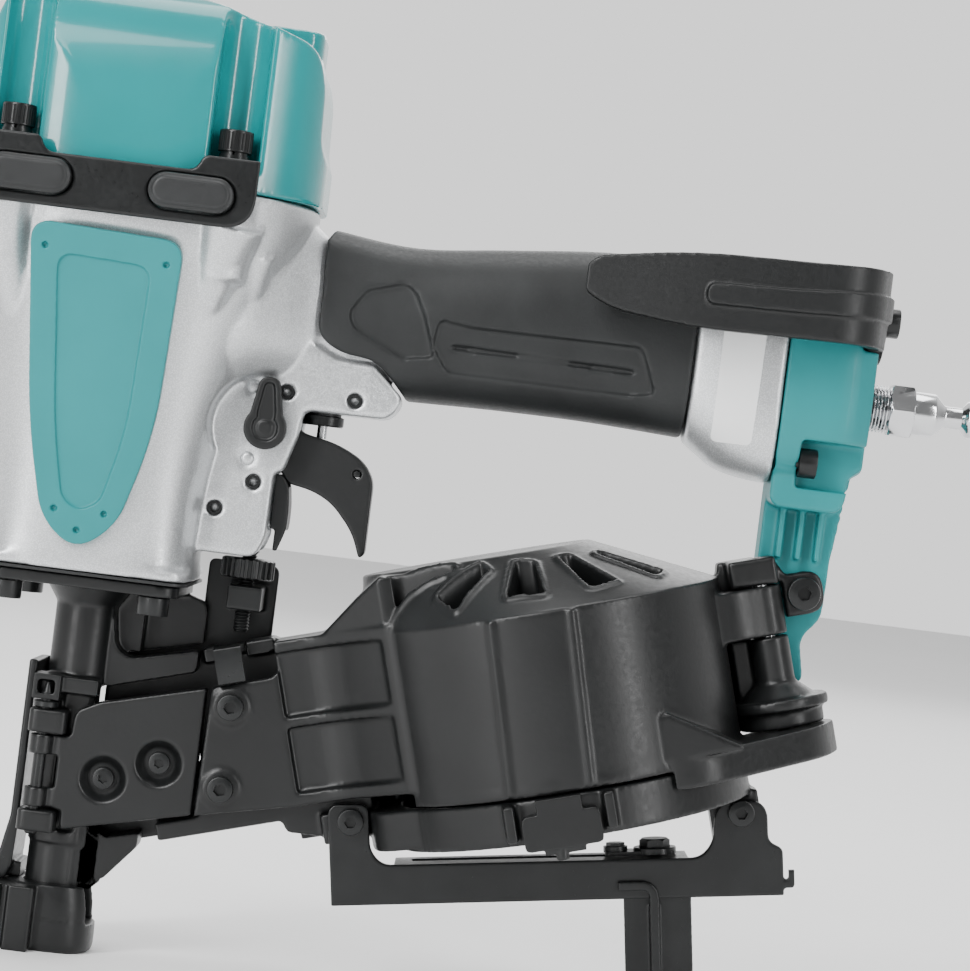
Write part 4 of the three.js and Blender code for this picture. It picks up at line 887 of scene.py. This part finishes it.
def arm_guide():
    block = slab([
        (48.5, 124.4), (50, 124.4), (50, 118.4), (51.2, 118.4), (53.2, 124.6, 2), (53.2, 131, 2),
        (52.4, 137, 1), (50.4, 139.8, 1), (48.5, 139.8),
    ], -7.6, 7.6)
    return cast(cut(
        block, box(46, 49.8, -3, 3, 117, 142), box(46, 56, -6.4, 6.4, 136.4, 142),
        box(46, 56, -6.2, 8, 117, 124.2),
    ), 0.35, 3)


# ---- nose and contact arm
def nose():
    flange = plan(doubled([(-27, -28, 6), (27, -28, 6)]), 102.4, 105.6)
    neck, tip = post(0, 0, 30, 104, 8.6), post(0, 0, 9, 40, 8)
    root = bar((0, 0, 97), (0, 0, 102.9), 8.6, 12.5)
    beam = slab([
        (4, 97), (4, 73, 2), (12, 75.6), (33, 81.6, 1), (33, 88, 1), (14, 83.4, 3), (9.6, 86, 3), (8, 97),
    ], -4, 6)
    back_web = slab([(12, 84), (33, 89), (33, 100.8, 2), (26, 103), (12, 103)], 10, 12.4)
    gusset = slab([(4, 38), (4, 17, 1), (11.4, 18), (22.7, 31.4, 1), (22.7, 35.4), (14, 33.2)], -6, 6)
    knuckles = [
        plan([(-10.6, -16.4, 2.4), (0, -16.4, 2), (0, -9, 1), (-2, -4), (-10.6, -4)], *span)
        for span in ((60.8, 67.4), (33.4, 39.4))
    ]
    lugs = [box(-10.6, -3, -15, -4, 70, 77), box(-3.2, 7.4, -13, -4, 72.2, 76.8)]
    body = cut(
        join(flange, neck, tip, root, beam, back_web, box(4, 16, 3, 12.4, 85, 103), gusset),
        box(-2.2, 14, -20, -7, 33.4, 72.2), box(-11, -2.2, -20, -9.4, 39.7, 60.5),
    )
    return cast(cut(
        join(body, *knuckles, *lugs), box(-9.2, -4.6, -18, -11, 71.6, 75.4), post(-6.5, -13, 30, 74, 2),
        post(0, 0, 0, 115, 5.2), box(0, 14, -5.6, 5.6, 14.4, 75),
        *[post(x, y, 96, 108, 2.7) for x, y in NOSE_BOLTS],
    ), 0.5, 4)


def nose_gasket():
    body = plan(doubled(FOOT), 105.9, 106.7)
    holes = [post(x, y, 100, 110, 2.7) for x, y in NOSE_BOLTS]
    return bevelled(cut(body, post(0, 0, 100, 110, 12), *holes), 0.2)


def nose_bolt(x, y):
    return screw((x, y, 102.1), DOWN, 10.9, 2.4, 4.4, 5, 2.2, 2.6)


def contact_foot():
    ring = upright([
        (0, 0.6, 11.4, 12.2, 2.6), (2, 0.4, 12.6, 13, 2.6), (12, 0, 12.6, 13, 2.6),
        (18.6, -0.6, 12, 12.4, 2.6),
    ], 3, 96)
    block = plan(doubled([(-17, -17, 1.5), (-3, -17, 1)]), 0, 18)
    seam = [box(-20, 20, -20, 20, 8.9, 9.5)]
    shell = cut(twin(ring), moved(twin(ring), Matrix.Diagonal((0.96, 0.96, 1, 1))))
    line = meet(shell, *seam)
    body = cut(
        join(ring, block), post(0, 0, -1, 20, 8.3), box(3, 16, -7.6, 7.6, 8, 20),
        box(-12.4, -10.2, -20, -15, -1, 19), box(-12.4, -10.2, 15, 20, -1, 19), line,
    )
    return cast(body, 0.42, 4)


def contact_arm():
    strap = slab([
        (-17, 18.4), (-13, 18.4), (-11.4, 22), (-11, 36), (-11, 80), (-13.4, 80), (-13.4, 36), (-15.6, 24),
    ], -7, 17)
    toe = box(-14, -9.2, -3.4, 12, 18.8, 23)
    plate = slab([
        (-13.4, 70), (2, 76, 3), (42, 76), (51.6, 78.6, 2), (51.6, 113.6, 3), (31.4, 113.6, 2),
        (31.4, 89.4, 2), (2, 89.4), (-6, 80), (-13.4, 80),
    ], 14.6, 17)
    lug = box(38.8, 48.4, -4, 16, 100.6, 107.4)
    seat = box(4, 12, 16.5, 26, 76, 79)
    return cast(cut(join(strap, toe, plate, lug, seat), post(WHEEL_X, WHEEL_Y, 98, 110, 2.5)), 0.42, 3)


def threaded(x, y, z0, z1, radius):
    """An upright rod with thread rings from end to end."""
    pitch, core = 0.9, radius - 0.35
    profile = [(z0, core - 0.2), (z0 + 0.4, core)]
    for i in range(int((z1 - z0 - 1) / pitch)):
        z = z0 + 0.5 + i * pitch
        profile += [(z, core), (z + pitch * 0.42, radius), (z + pitch * 0.58, radius)]
    profile += [(z1 - 0.3, core), (z1, core)]
    return turned(profile, x, y, 48)


def contact_link():
    blade = slab([(40, 117), (46, 117), (46, 131, 1.5), (42, 131, 1.5), (40, 124, 2)], -2.4, 2.8)
    return bevelled(join(blade, threaded(WHEEL_X, WHEEL_Y, 94.2, 119, 2.2)), 0.15)


def depth_wheel():
    x, y, r = WHEEL_X, WHEEL_Y, 7.6
    wheel = turned([(109.4, r - 0.8), (109.9, r), (114.7, r), (115.2, r - 0.8)], x, y, 96)
    dents = []
    for i in range(24):
        t = math.pi * i / 12
        dents.append(post(x + (r + 0.3) * math.cos(t), y + (r + 0.3) * math.sin(t), 108, 117, 0.7, sides=12))
    return crisp(cut(wheel, *dents, post(x, y, 108, 117, 2.5)))


def contact_spring():
    """Round wire wound up a vertical axis behind the nose."""
    x, y, low, high, radius, wire, turns = 8, 21.4, 79.2, 102.1, 3.2, 0.55, 7
    steps, sides = turns * 40, 12
    rings = []
    for k in range(steps + 1):
        t = k / steps
        a = 2 * math.pi * turns * t
        out = Vector((math.cos(a), math.sin(a), 0))
        centre = Vector((x, y, low + wire + (high - low - 2 * wire) * t)) + out * radius
        rings.append([
            centre + out * wire * math.cos(s) + Vector((0, 0, wire * math.sin(s)))
            for s in (2 * math.pi * i / sides for i in range(sides))
        ])
    return crisp(loft(rings), 60)


# ---- door
def door():
    face = slab([
        (1.2, 34.4, 1.5), (37.2, 42.8, 1), (37.2, 78.4, 1), (8, 70.8, 1), (1.8, 67.6, 2), (1.2, 60.4, 1),
        (-1.6, 60.4, 1), (-1.6, 39.8, 1), (1.2, 39.8, 1),
    ], -13.4, -7.4)
    cup = [(0, 6.9), (0.4, 6.4), (2.6, 4.6), (2.9, 3.8)]
    dimples = [lathe(cup, (x, -13.5, z), (0, 1, 0)) for x, z in DOOR_SCREWS]
    holes = [cross(x, z, -15, -5, 1.9) for x, z in DOOR_SCREWS]
    bosses = []
    for z0, z1 in ((40.2, 45.6), (54.8, 60.3)):
        bosses += [post(-6.5, -13, z0, z1, 3.2), box(-6.5, 0, -13.2, -10.6, z0, z1)]
    body = join(cut(face, *dimples), *bosses)
    return cast(cut(body, *holes, post(-6.5, -13, 30, 70, 2)), 0.42, 3)


def door_screw(x, z):
    return screw((x, -10.7, z), NEAR, 4.1, 1.5, 3, 1.9, 1.5, 1.2, points=12)


def door_hinge_pin():
    pin = turned([
        (32.4, 1.3), (32.8, 1.7), (67.7, 1.7), (67.7, 3), (68, 3.4), (69.3, 3.4), (69.6, 3), (69.6, 1.7),
        (72, 1.7), (72, 1.4), (74.6, 0.6),
    ], -6.5, -13, 48)
    return crisp(pin)


# ---- magazine
def drum_disc(low, high, radius, sides=120):
    return post(DRUM_U, DRUM_V, low, high, radius, sides=sides)


def half_ring(side, w, centre, half_u, half_v, seam, count=97):
    """Half of the drum's outline at one height, closed along the seam."""
    points = []
    for i in range(count):
        t = math.pi * i / (count - 1)
        reach = max(half_v * math.sin(t), side * (seam - DRUM_V) + 1e-3)
        points.append((centre - half_u * math.cos(t), DRUM_V + side * reach, w))
    return [(centre - half_u, seam, w)] + points + [(centre + half_u, seam, w)]


def half_drum(side, seam, base, inset=0.0):
    """The drum on one side of its seam, or with an inset the room inside it."""
    inner = inset > 0
    edge = seam - side * inner
    radius = DRUM_R - inset
    return loft([
        half_ring(side, base - inner, DRUM_U, radius, radius, edge),
        half_ring(side, DRUM_TOP - inset / 3, DRUM_U, radius, radius, edge),
        half_ring(side, 88.6 - inset, 137, 32 - inset / 2, 25 - inset / 2, edge),
    ])


def feed_room(w0, w1):
    """The channel that the strip of nails takes from the drum to the nose."""
    return plan([(76, -10.2), (96, -13), (116, -36), (116, 30), (96, 7), (76, 6.2)], w0, w1)


def vent(inner, outer, narrow, wide, grow=0.0):
    """The room of one slot in the drum's top, or with some growth its raised rim."""
    start, end = Vector(inner), Vector(outer)
    along = (end - start).normalized()
    across = Vector((-along.y, along.x))
    start, end = start - along * grow, end + along * grow
    corners = [
        start - across * (narrow + grow), end - across * (wide + grow), end + across * (wide + grow),
        start + across * (narrow + grow),
    ]
    return plan([(*p, 0.8 + grow) for p in corners], 66, 96)


def wall_rib(top, foot, width=1.5):
    """A bead up the drum's side wall, from one [along, height] to the other."""
    ends = []
    for u, w in (top, foot):
        reach = math.sqrt(DRUM_R ** 2 - (u - DRUM_U) ** 2)
        out = Vector((u - DRUM_U, -reach, 0)).normalized()
        ends.append(Vector((DRUM_U, DRUM_V, w)) + out * (DRUM_R - 0.7))
    return bar(*ends, width)


def shoulder(low, high):
    """The slope from the neck's roof up to the drum's crown."""
    slope = slab(
        [(86, 72.8), (92, 74.8), (103.4, 83.6), (110.4, 88.2), (124, 87), (124, 70), (88, 70)], low, high,
    )
    top_view = plan([
        (85, -15.2), (90, -16, 10), (110, -31.4), (126, -31.4), (126, 27), (112, 27), (97, 9.6, 8),
        (85, 9.6),
    ], 72.4, 90)
    return meet(slope, top_view)


def magazine_cap():
    seam = -0.4
    drum = cut(join(half_drum(-1, seam, CAP_LOW), shoulder(-31, seam)), half_drum(-1, seam, CAP_LOW, WALL))
    rims = [meet(half_drum(-1, seam, 60, -0.8), vent(*row, 1.3)) for row in VENTS]
    ribs = [wall_rib(*ends) for ends in WALL_RIBS]
    ring = cut(drum_disc(24.6, 27.4, DRUM_R + 0.1, 160), drum_disc(20, 30, DRUM_R - 1))
    border = meet(ring, box(116, 198, -53.9, -6, 20, 30))
    wall = [(78, -15.2), (90, -16, 10), (110, -32, 6), (113, -32)]
    neck = cut(join(
        plan([*wall, (113, -10), (78, -10)], 28.4, 34),
        plan([*wall, (113, seam), (78, seam)], 33.4, NECK_TOP),
    ), feed_room(30, FEED_TOP))
    pocket = [(78, -18.4), (78, -13.2, 1), (92, -14, 8), (108.6, -30, 2), (108.6, -40), (82, -40)]
    pockets = [plan(pocket, *span) for span in ((32, 50.4), (53.2, 71.4))]
    front = slab([
        (48.6, 30.6), (79, 28.4), (79, NECK_TOP, 1), (78.4, 66.4, 2), (75.6, 64.8, 1), (59.2, 64.8, 1),
    ], -15.2, -10.2)
    seats = [cross(a, b, -15.9, -15, 5) for a, b in CAP_SCREWS]
    u, v = HINGE_U, HINGE_V
    arm = plan([(192, -16), (196, -24, 2), (206, -15, 4), (u, v - 5.5), (u, v + 2), (200, -2)], 54.2, 68)
    upper = join(post(u, v, 54.2, 68, 5.5), arm)
    lobe = plan([
        (176, -47, 6), (190, -47, 16), (224, -22, 14), (229, -7, 10), (226, 1, 6), (218, 3.4, 4),
        (209, 2.6, 3), (206, -5), (198, -20),
    ], 19.4, 28.2)
    wing = slab([(176, 27.6), (176, 38, 1), (181, 40.4, 1), (200, 28.4), (200, 27.6)], -47, -30)
    body = join(drum, neck, front, upper, lobe, wing, border, *ribs, *rims, *seats)
    far_side = box(50, 203, seam, 40, 20, 100)
    gap = post(u, v, 28.2, 54.2, 14.3)
    holes = [cross(a, b, -18, -5, 2.1) for a, b in CAP_SCREWS]
    opening = meet(feed_room(24, 70), box(60, 116, -60, 20, 24, 70))
    return cast(cut(
        body, opening, *pockets, *[vent(*row) for row in VENTS], drum_disc(5, CAP_LOW, DRUM_R + 0.6),
        drum_disc(24.2, DRUM_TOP, DRUM_R - WALL), post(u, v, 10, 70, 2.3), far_side, gap, *holes,
    ), 0.6, 4)


def magazine_cap_screw(a, b):
    return screw((a, -15.6, b), NEAR, 6.6, 1.8, 3.6, 3.2, 1.8, 1.8)


def magazine_base():
    seam, u, v = 0.2, HINGE_U, HINGE_V
    drum = cut(join(half_drum(1, seam, 14), shoulder(seam, 27)), half_drum(1, seam, 14, WALL))
    tray_front = plan([(96, -9.6, 3), (98, -22, 8), (118, -34), (118, 9.6), (96, 9.6)], 13, 23.9)
    tray = cut(join(drum_disc(12, 23.9, DRUM_R - 0.4), tray_front), drum_disc(14.4, 26, DRUM_R - WALL - 0.6))
    neck = cut(plan([
        (76, 6.2), (76, 9.6), (97, 9.6, 8), (112, 30), (116, 28), (116, 0.4), (76, 0.4),
    ], 17.8, NECK_TOP), feed_room(23, FEED_TOP))
    back = slab([
        (16.4, 24.7), (72, 24.7), (73, 21.4), (86, 17.8, 2), (92, 20), (92, NECK_TOP), (29.3, NECK_TOP),
        (16.9, 32),
    ], 6.4, 9.6)
    beam = slab([
        (37, 24.7), (72, 24.7), (73, 21.4, 1), (85.4, 17.8), (98, 16.6), (98, 31.6), (51, 31.6), (49, 29.8),
        (37, 29.8),
    ], -9.6, 9.6)
    lugs = [
        box(83, 94, -12.8, -9, 16.6, 25), box(190, 204, -12.8, -4, -1, 13),
        box(98, 106, -9.6, 9.6, 12, 23.6),
    ]
    hinge = [
        post(u, v, 28.6, 33.6, 11.8), post(u, v, 33.4, 36.6, 13.7, sides=96),
        post(u, v, 36.4, 41, 10.7, 5.5), post(u, v, 40, 53.8, 5.5),
    ]
    root = slab([
        (199, 28.6), (213.4, 28.6), (213.4, 38.4), (209, 38.4), (205.6, 44), (215, 76), (204, 76), (199, 56),
    ], 0.2, 9)
    ear = slab([
        (u, 68.4), (u, 76), (219, 76), (222, 70), (232, 70, 5.4), (232, 58, 5.4), (u + 6.2, 58),
        (u + 6.2, 68.4),
    ], -3.6, 0.2)
    spine = [
        root, box(203.6, u - 1, v + 2, 0.5, 28.6, 53.8), box(206, u + 5, v - 4.4, 0.2, 68.4, 76), ear,
    ]
    ears = [box(a, b, -3, 9.6, 71.4, 75.6) for a, b in ((57.4, 61), (69.4, 77.6))]
    posts = [box(a, a + 3, -56.4, -50, 13.4, 23.4) for a in (133.6, 160.4)]
    body = join(drum, tray, neck, back, beam, *lugs, *hinge, *spine, *ears, *posts)
    return cast(cut(
        body, feed_room(32, FEED_TOP), box(33, 51, 4, 12, 43.6, 50.4), cross(EAR_U, EAR_W, -8, 6, 2.3),
        bar((50, LATCH_V, LATCH_W), (76, LATCH_V, LATCH_W), 1.5), post(u, v, 20, 80, 2.3),
        drum_disc(5, 20, 6.4), drum_disc(14.4, DRUM_TOP, DRUM_R - WALL - 0.6),
    ), 0.6, 4)


def bracket_screw():
    return screw((EAR_U, -3.9, EAR_W), NEAR, 14.9, 2, 4.6, 3.5, 2, 1.9)


def magazine_hinge_pin():
    return crisp(post(HINGE_U, HINGE_V, 18, 75.6, 2))


def nail_support():
    hub = turned([(8.6, 5), (9.2, 5.6), (57.4, 5.6), (58, 5)], DRUM_U, DRUM_V, 64)
    plate = turned([(17, 35.4), (17.4, 36), (18.6, 36), (19, 35.4)], DRUM_U, DRUM_V, 120)
    return crisp(join(hub, plate))


def cap_catch():
    plate = slab([
        (138, 10.5, 1.5), (159, 10.5, 1.5), (159, 20, 2), (154.6, 20), (154.6, 23.8), (142.4, 23.8),
        (142.4, 20), (138, 20, 2),
    ], -57, -54)
    button = post(147.5, -55.3, 7.2, 12, 1.7)
    return cast(join(plate, box(143, 154, -56.6, -54.2, 9, 12), button), 0.3, 5)


def latch_lever():
    v, w = LATCH_V, LATCH_W
    tab = prism(rounded(
        [(-17.4, 65.2), (-17.4, 75.2), (v, 75.2), (v, 73.6), (-15.8, 73.6), (-15.8, 65.2)], 0.5, 3,
    ), 61.4, 69, "yz")
    body = join(tab, bar((61.4, v, w), (69, v, w), 1.7), bar((58, v, w), (72.4, v, w), 1.2))
    return bevelled(body, 0.3)


def feed_cylinder():
    barrel = lathe([(54, 7.8), (54.6, 8.4), (89.4, 8.4), (90, 7.8)], (0, 19.4, 47), BACK, 64)
    body = join(barrel, box(56, 88, 9.9, 19, 40, 54))
    return bevelled(cut(body, bar((50, 19.4, 47), (84, 19.4, 47), 3.2)), 0.5)


def feed_pawl():
    rod = bar((42, 19.4, 47), (70, 19.4, 47), 2.8)
    return bevelled(join(rod, box(34, 44, 9.9, 23, 43, 51), box(35, 40, 4.6, 11, 44.4, 49.6)), 0.4)


# ---- adjustable shingle guide
def guide_rail():
    low, high, a0, a1 = 11, 22, 81.5, 207
    web = slab([
        (a0, low), (a1, low), (a1, high + 2, 1.5), (203, high + 4, 2), (203, 37.6, 6), (188.6, 37.6, 6),
        (187.6, high + 4, 3), (184, high, 3), (96, high, 3), (92.6, high + 4, 3), (92.6, 39, 3),
        (a0 - 0.4, 39, 3),
    ], -15.3, -13.3)
    flange = box(99, 181, -15.2, 3, high - 2, high)
    stop = slab([
        (a1 - 1, 13), (a1 + 3, 13, 1), (a1 + 3, 18), (a1 + 1.4, 18), (a1 + 1.4, 15.4), (a1 - 1, 15.4),
    ], -15.3, -13.3)
    holes = [bar((a, -18, b), (a, -10, b), 2.3) for a, b in RAIL_SCREWS]
    return cast(cut(join(web, flange, stop), box(104, 176, -6.6, -2.2, 18, 24), *holes), 0.4, 3)


def rail_screw(a, b):
    return screw((a, -15.6, b), NEAR, 2.2, 2, 3.6, 3.4, 1.7, 1.7)


def guide_foot():
    """The hanger and its shelf lean with the rail; the lip lies flat on the ground."""
    a, half = 172, 9.4
    lean = Matrix.Rotation(-RAIL_TILT, 4, "Y")
    sheet = box(a - half, a + half, -13, -11.4, -28, 19.7)
    hanger = moved(join(sheet, box(a - half, a + half, -12, 4, 18, 19.7)), lean)
    rod = join(prism(
        ribbon([(a - 11, 14.8), (a - 1, 14.8, 4), (a - 1, -26)], 2.6), -17.2, -15.7,
    ), box(a - 2.3, a + 0.3, -17, -12.6, -26, 9))
    bead = moved(rod, lean)
    ground = box(100, 230, -40, 40, 0, 80)
    lip = plan([(157.6, -13.2), (178.6, -13.2), (178.6, -4, 1.5), (157.6, -4, 1.5)], 0, 1.7)
    lip = meet(lip, box(159, 179.6, -14, 0, -1, 3))
    return cast(join(meet(join(hanger, bead), ground), lip), 0.38, 3)


def clamp_bolt():
    a, v = 172, -4.4
    chamfer = turned([(23.9, 4.3), (26, 4.3), (26.6, 3.6)], a, v)
    hexagon = meet(prism(circle(a, v, 4.3, 6), 24, 26.6, "xy"), chamfer)
    washer = turned([(22.3, 5.8), (22.5, 6), (24, 6), (24.2, 5.8)], a, v)
    bridge = plan([(a + da, v + dv, 2) for da, dv in ((-14, -4.5), (5.6, -4.5), (5.6, 4.5), (-14, 4.5))],
                  22.3, 23.3)
    stud = join(post(a - 11, v, 23, 24.6, 3.4), post(a - 11, v, 24.4, 25.6, 2.6, sides=6))
    return crisp(join(post(a, v, 20, 24, 1.9), washer, hexagon, bridge, stud))


# ---- drive parts inside the head
def cylinder_sleeve():
    body = turned([(118, 23.4), (118.6, 24), (197, 24), (197, 27.5), (202, 27.5)], sides=96)
    return crisp(cut(body, post(0, 0, 110, 210, 20.8, sides=96)))


def piston_bumper():
    body = turned([(108, 23.4), (113, 23.4), (117, 20.2), (121, 20.2)], sides=96)
    return crisp(cut(body, post(0, 0, 100, 125, 6)))


def piston_driver():
    piston = turned([
        (184, 20.4), (187, 20.4), (187, 19.2), (190, 19.2), (190, 20.4), (195.6, 20.4), (196, 20), (196, 12),
        (198, 11),
    ], sides=96)
    return crisp(join(piston, post(0, 0, 66, 185, 3.6)))


def head_valve():
    body = turned([(203, 29.6), (214, 29.6), (214, 22), (224, 22)], sides=96)
    return crisp(cut(body, post(0, 0, 200, 226, 12, sides=64)))


# ---- the tool, put together
SINGLE = [
    (TOOL, "silver", [housing]), (TOOL, "teal_gloss", [top_cap]), (TOOL, "teal", [end_cap]),
    (TOOL, "rubber", [handle_grip]), (TOOL, "pad", [piston_bumper, nose_gasket]),
    (TOOL, "alloy", [cylinder_sleeve]), (TOOL, "plated", [air_plug]),
    (TOOL, "steel", [piston_driver, valve_stem, contact_spring]),
    (TOOL, "plastic", [exhaust_cover, head_valve, belt_hook, trigger, mode_lever, arm_guide]),
    (TOOL, "casting", [nose, contact_foot, door]),
    (TOOL, "steel_black", [
        end_cap_screw, hook_bolt, trigger_lever, valve_bushing, contact_arm, contact_link, depth_wheel,
        door_hinge_pin, guide_foot,
    ]),
    (MAG, "casting", [magazine_cap, magazine_base, nail_support, cap_catch]),
    (MAG, "steel", [magazine_hinge_pin, feed_pawl]),
    (MAG, "steel_black", [bracket_screw, latch_lever, feed_cylinder]),
    (GUIDE, "steel_black", [guide_rail, clamp_bolt]),
]
REPEATED = [
    (TOOL, cap_bolt, CAP_BOLTS), (TOOL, nose_bolt, NOSE_BOLTS), (TOOL, door_screw, DOOR_SCREWS),
    (MAG, magazine_cap_screw, CAP_SCREWS), (GUIDE, rail_screw, RAIL_SCREWS),
]
TRIMS = [("steel_black", roll_pin, ROLL_PINS), ("silver", detent, DETENTS)]


def build():
    """Makes every piece; a piece's function has the name of the CAD node that it replaces."""
    for where, material, makers in SINGLE:
        for make in makers:
            fine(make.__name__, make(), where, material)
    for where, make, places in REPEATED:
        for i, place in enumerate(places, 1):
            fine(f"{make.__name__}_{i}", make(*place), where, "steel_black")
    for side, guard, pads in zip(("left", "right"), both_sides(guard_plate()), both_sides(guard_pads())):
        fine("guard_plate_" + side, guard, TOOL, "steel_black")
        fine("guard_pads_" + side, pads, TOOL, "pad")
        fine("badge_" + side, badge(-1 if side == "left" else 1), TOOL, "teal")
    for material, make, places in TRIMS:
        for i, place in enumerate(places, 1):
            trim(f"{make.__name__}_{i}", make(*place), TOOL, material, "housing")
    trim("handle_label", handle_label(), TOOL, "label", "housing")


# ---- set, light and camera
def set_stage():
    floor_paint = finish("floor_paint", (0.9, 0.9, 0.9), 0.7, grain=40, relief=0.0, vary=0.01, patch=2)
    bpy.ops.mesh.primitive_plane_add(size=8, location=(0, 0, 0))
    floor = bpy.context.object
    floor.name = "floor"
    floor.data.materials.append(floor_paint)
    world = bpy.data.worlds.new("studio")
    bpy.context.scene.world = world
    world.use_nodes = True
    tree = world.node_tree
    depth = shader_node(tree, "SeparateXYZ", "Y", Vector=shader_node(tree, "TexCoord", "Generated"))
    strength = spread(tree, depth, 0.28, 1.3, -0.35, 0.45)
    feed(tree, tree.nodes["Background"], {"Color": (1, 1, 1, 1), "Strength": strength})
    for name, place, width, height, power in [
        ("key", (-0.9, -1.5, 1.5), 1.1, 1.1, 30), ("top", (0.1, 0.2, 1.9), 1.2, 1.2, 26),
        ("back", (0.3, 1.6, 1.0), 1.0, 1.0, 8), ("left_strip", (-0.75, -0.95, 0.5), 0.14, 1.2, 12),
        ("right_strip", (0.95, -0.85, 0.5), 0.12, 1.2, 10),
    ]:
        light = bpy.data.lights.new(name, "AREA")
        light.shape = "RECTANGLE"
        light.energy = power
        light.size = width
        light.size_y = height
        lamp = bpy.data.objects.new(name, light)
        bpy.context.scene.collection.objects.link(lamp)
        lamp.location = place
        lamp.rotation_euler = (Vector((0, 0, 0.14)) - Vector(place)).to_track_quat("-Z", "Y").to_euler()


def set_camera():
    """Square to the loading side, with the tool leaning forward in the frame."""
    data = bpy.data.cameras.new("camera")
    data.lens = 118.5
    data.sensor_width = 36
    camera = bpy.data.objects.new("camera", data)
    bpy.context.scene.collection.objects.link(camera)
    aim = TOOL @ Vector((106.8, 0, 143.8))
    azimuth, elevation, distance, roll = math.radians(-0.2), math.radians(0.1), 0.9, math.radians(7.15)
    toward = Vector((
        math.sin(azimuth) * math.cos(elevation), -math.cos(azimuth) * math.cos(elevation),
        math.sin(elevation),
    ))
    camera.location = aim + toward * distance
    level = (-toward).to_track_quat("-Z", "Y")
    camera.rotation_euler = (level.to_matrix().to_4x4() @ Matrix.Rotation(roll, 4, "Z")).to_euler()
    bpy.context.scene.camera = camera


build()
set_stage()
set_camera()
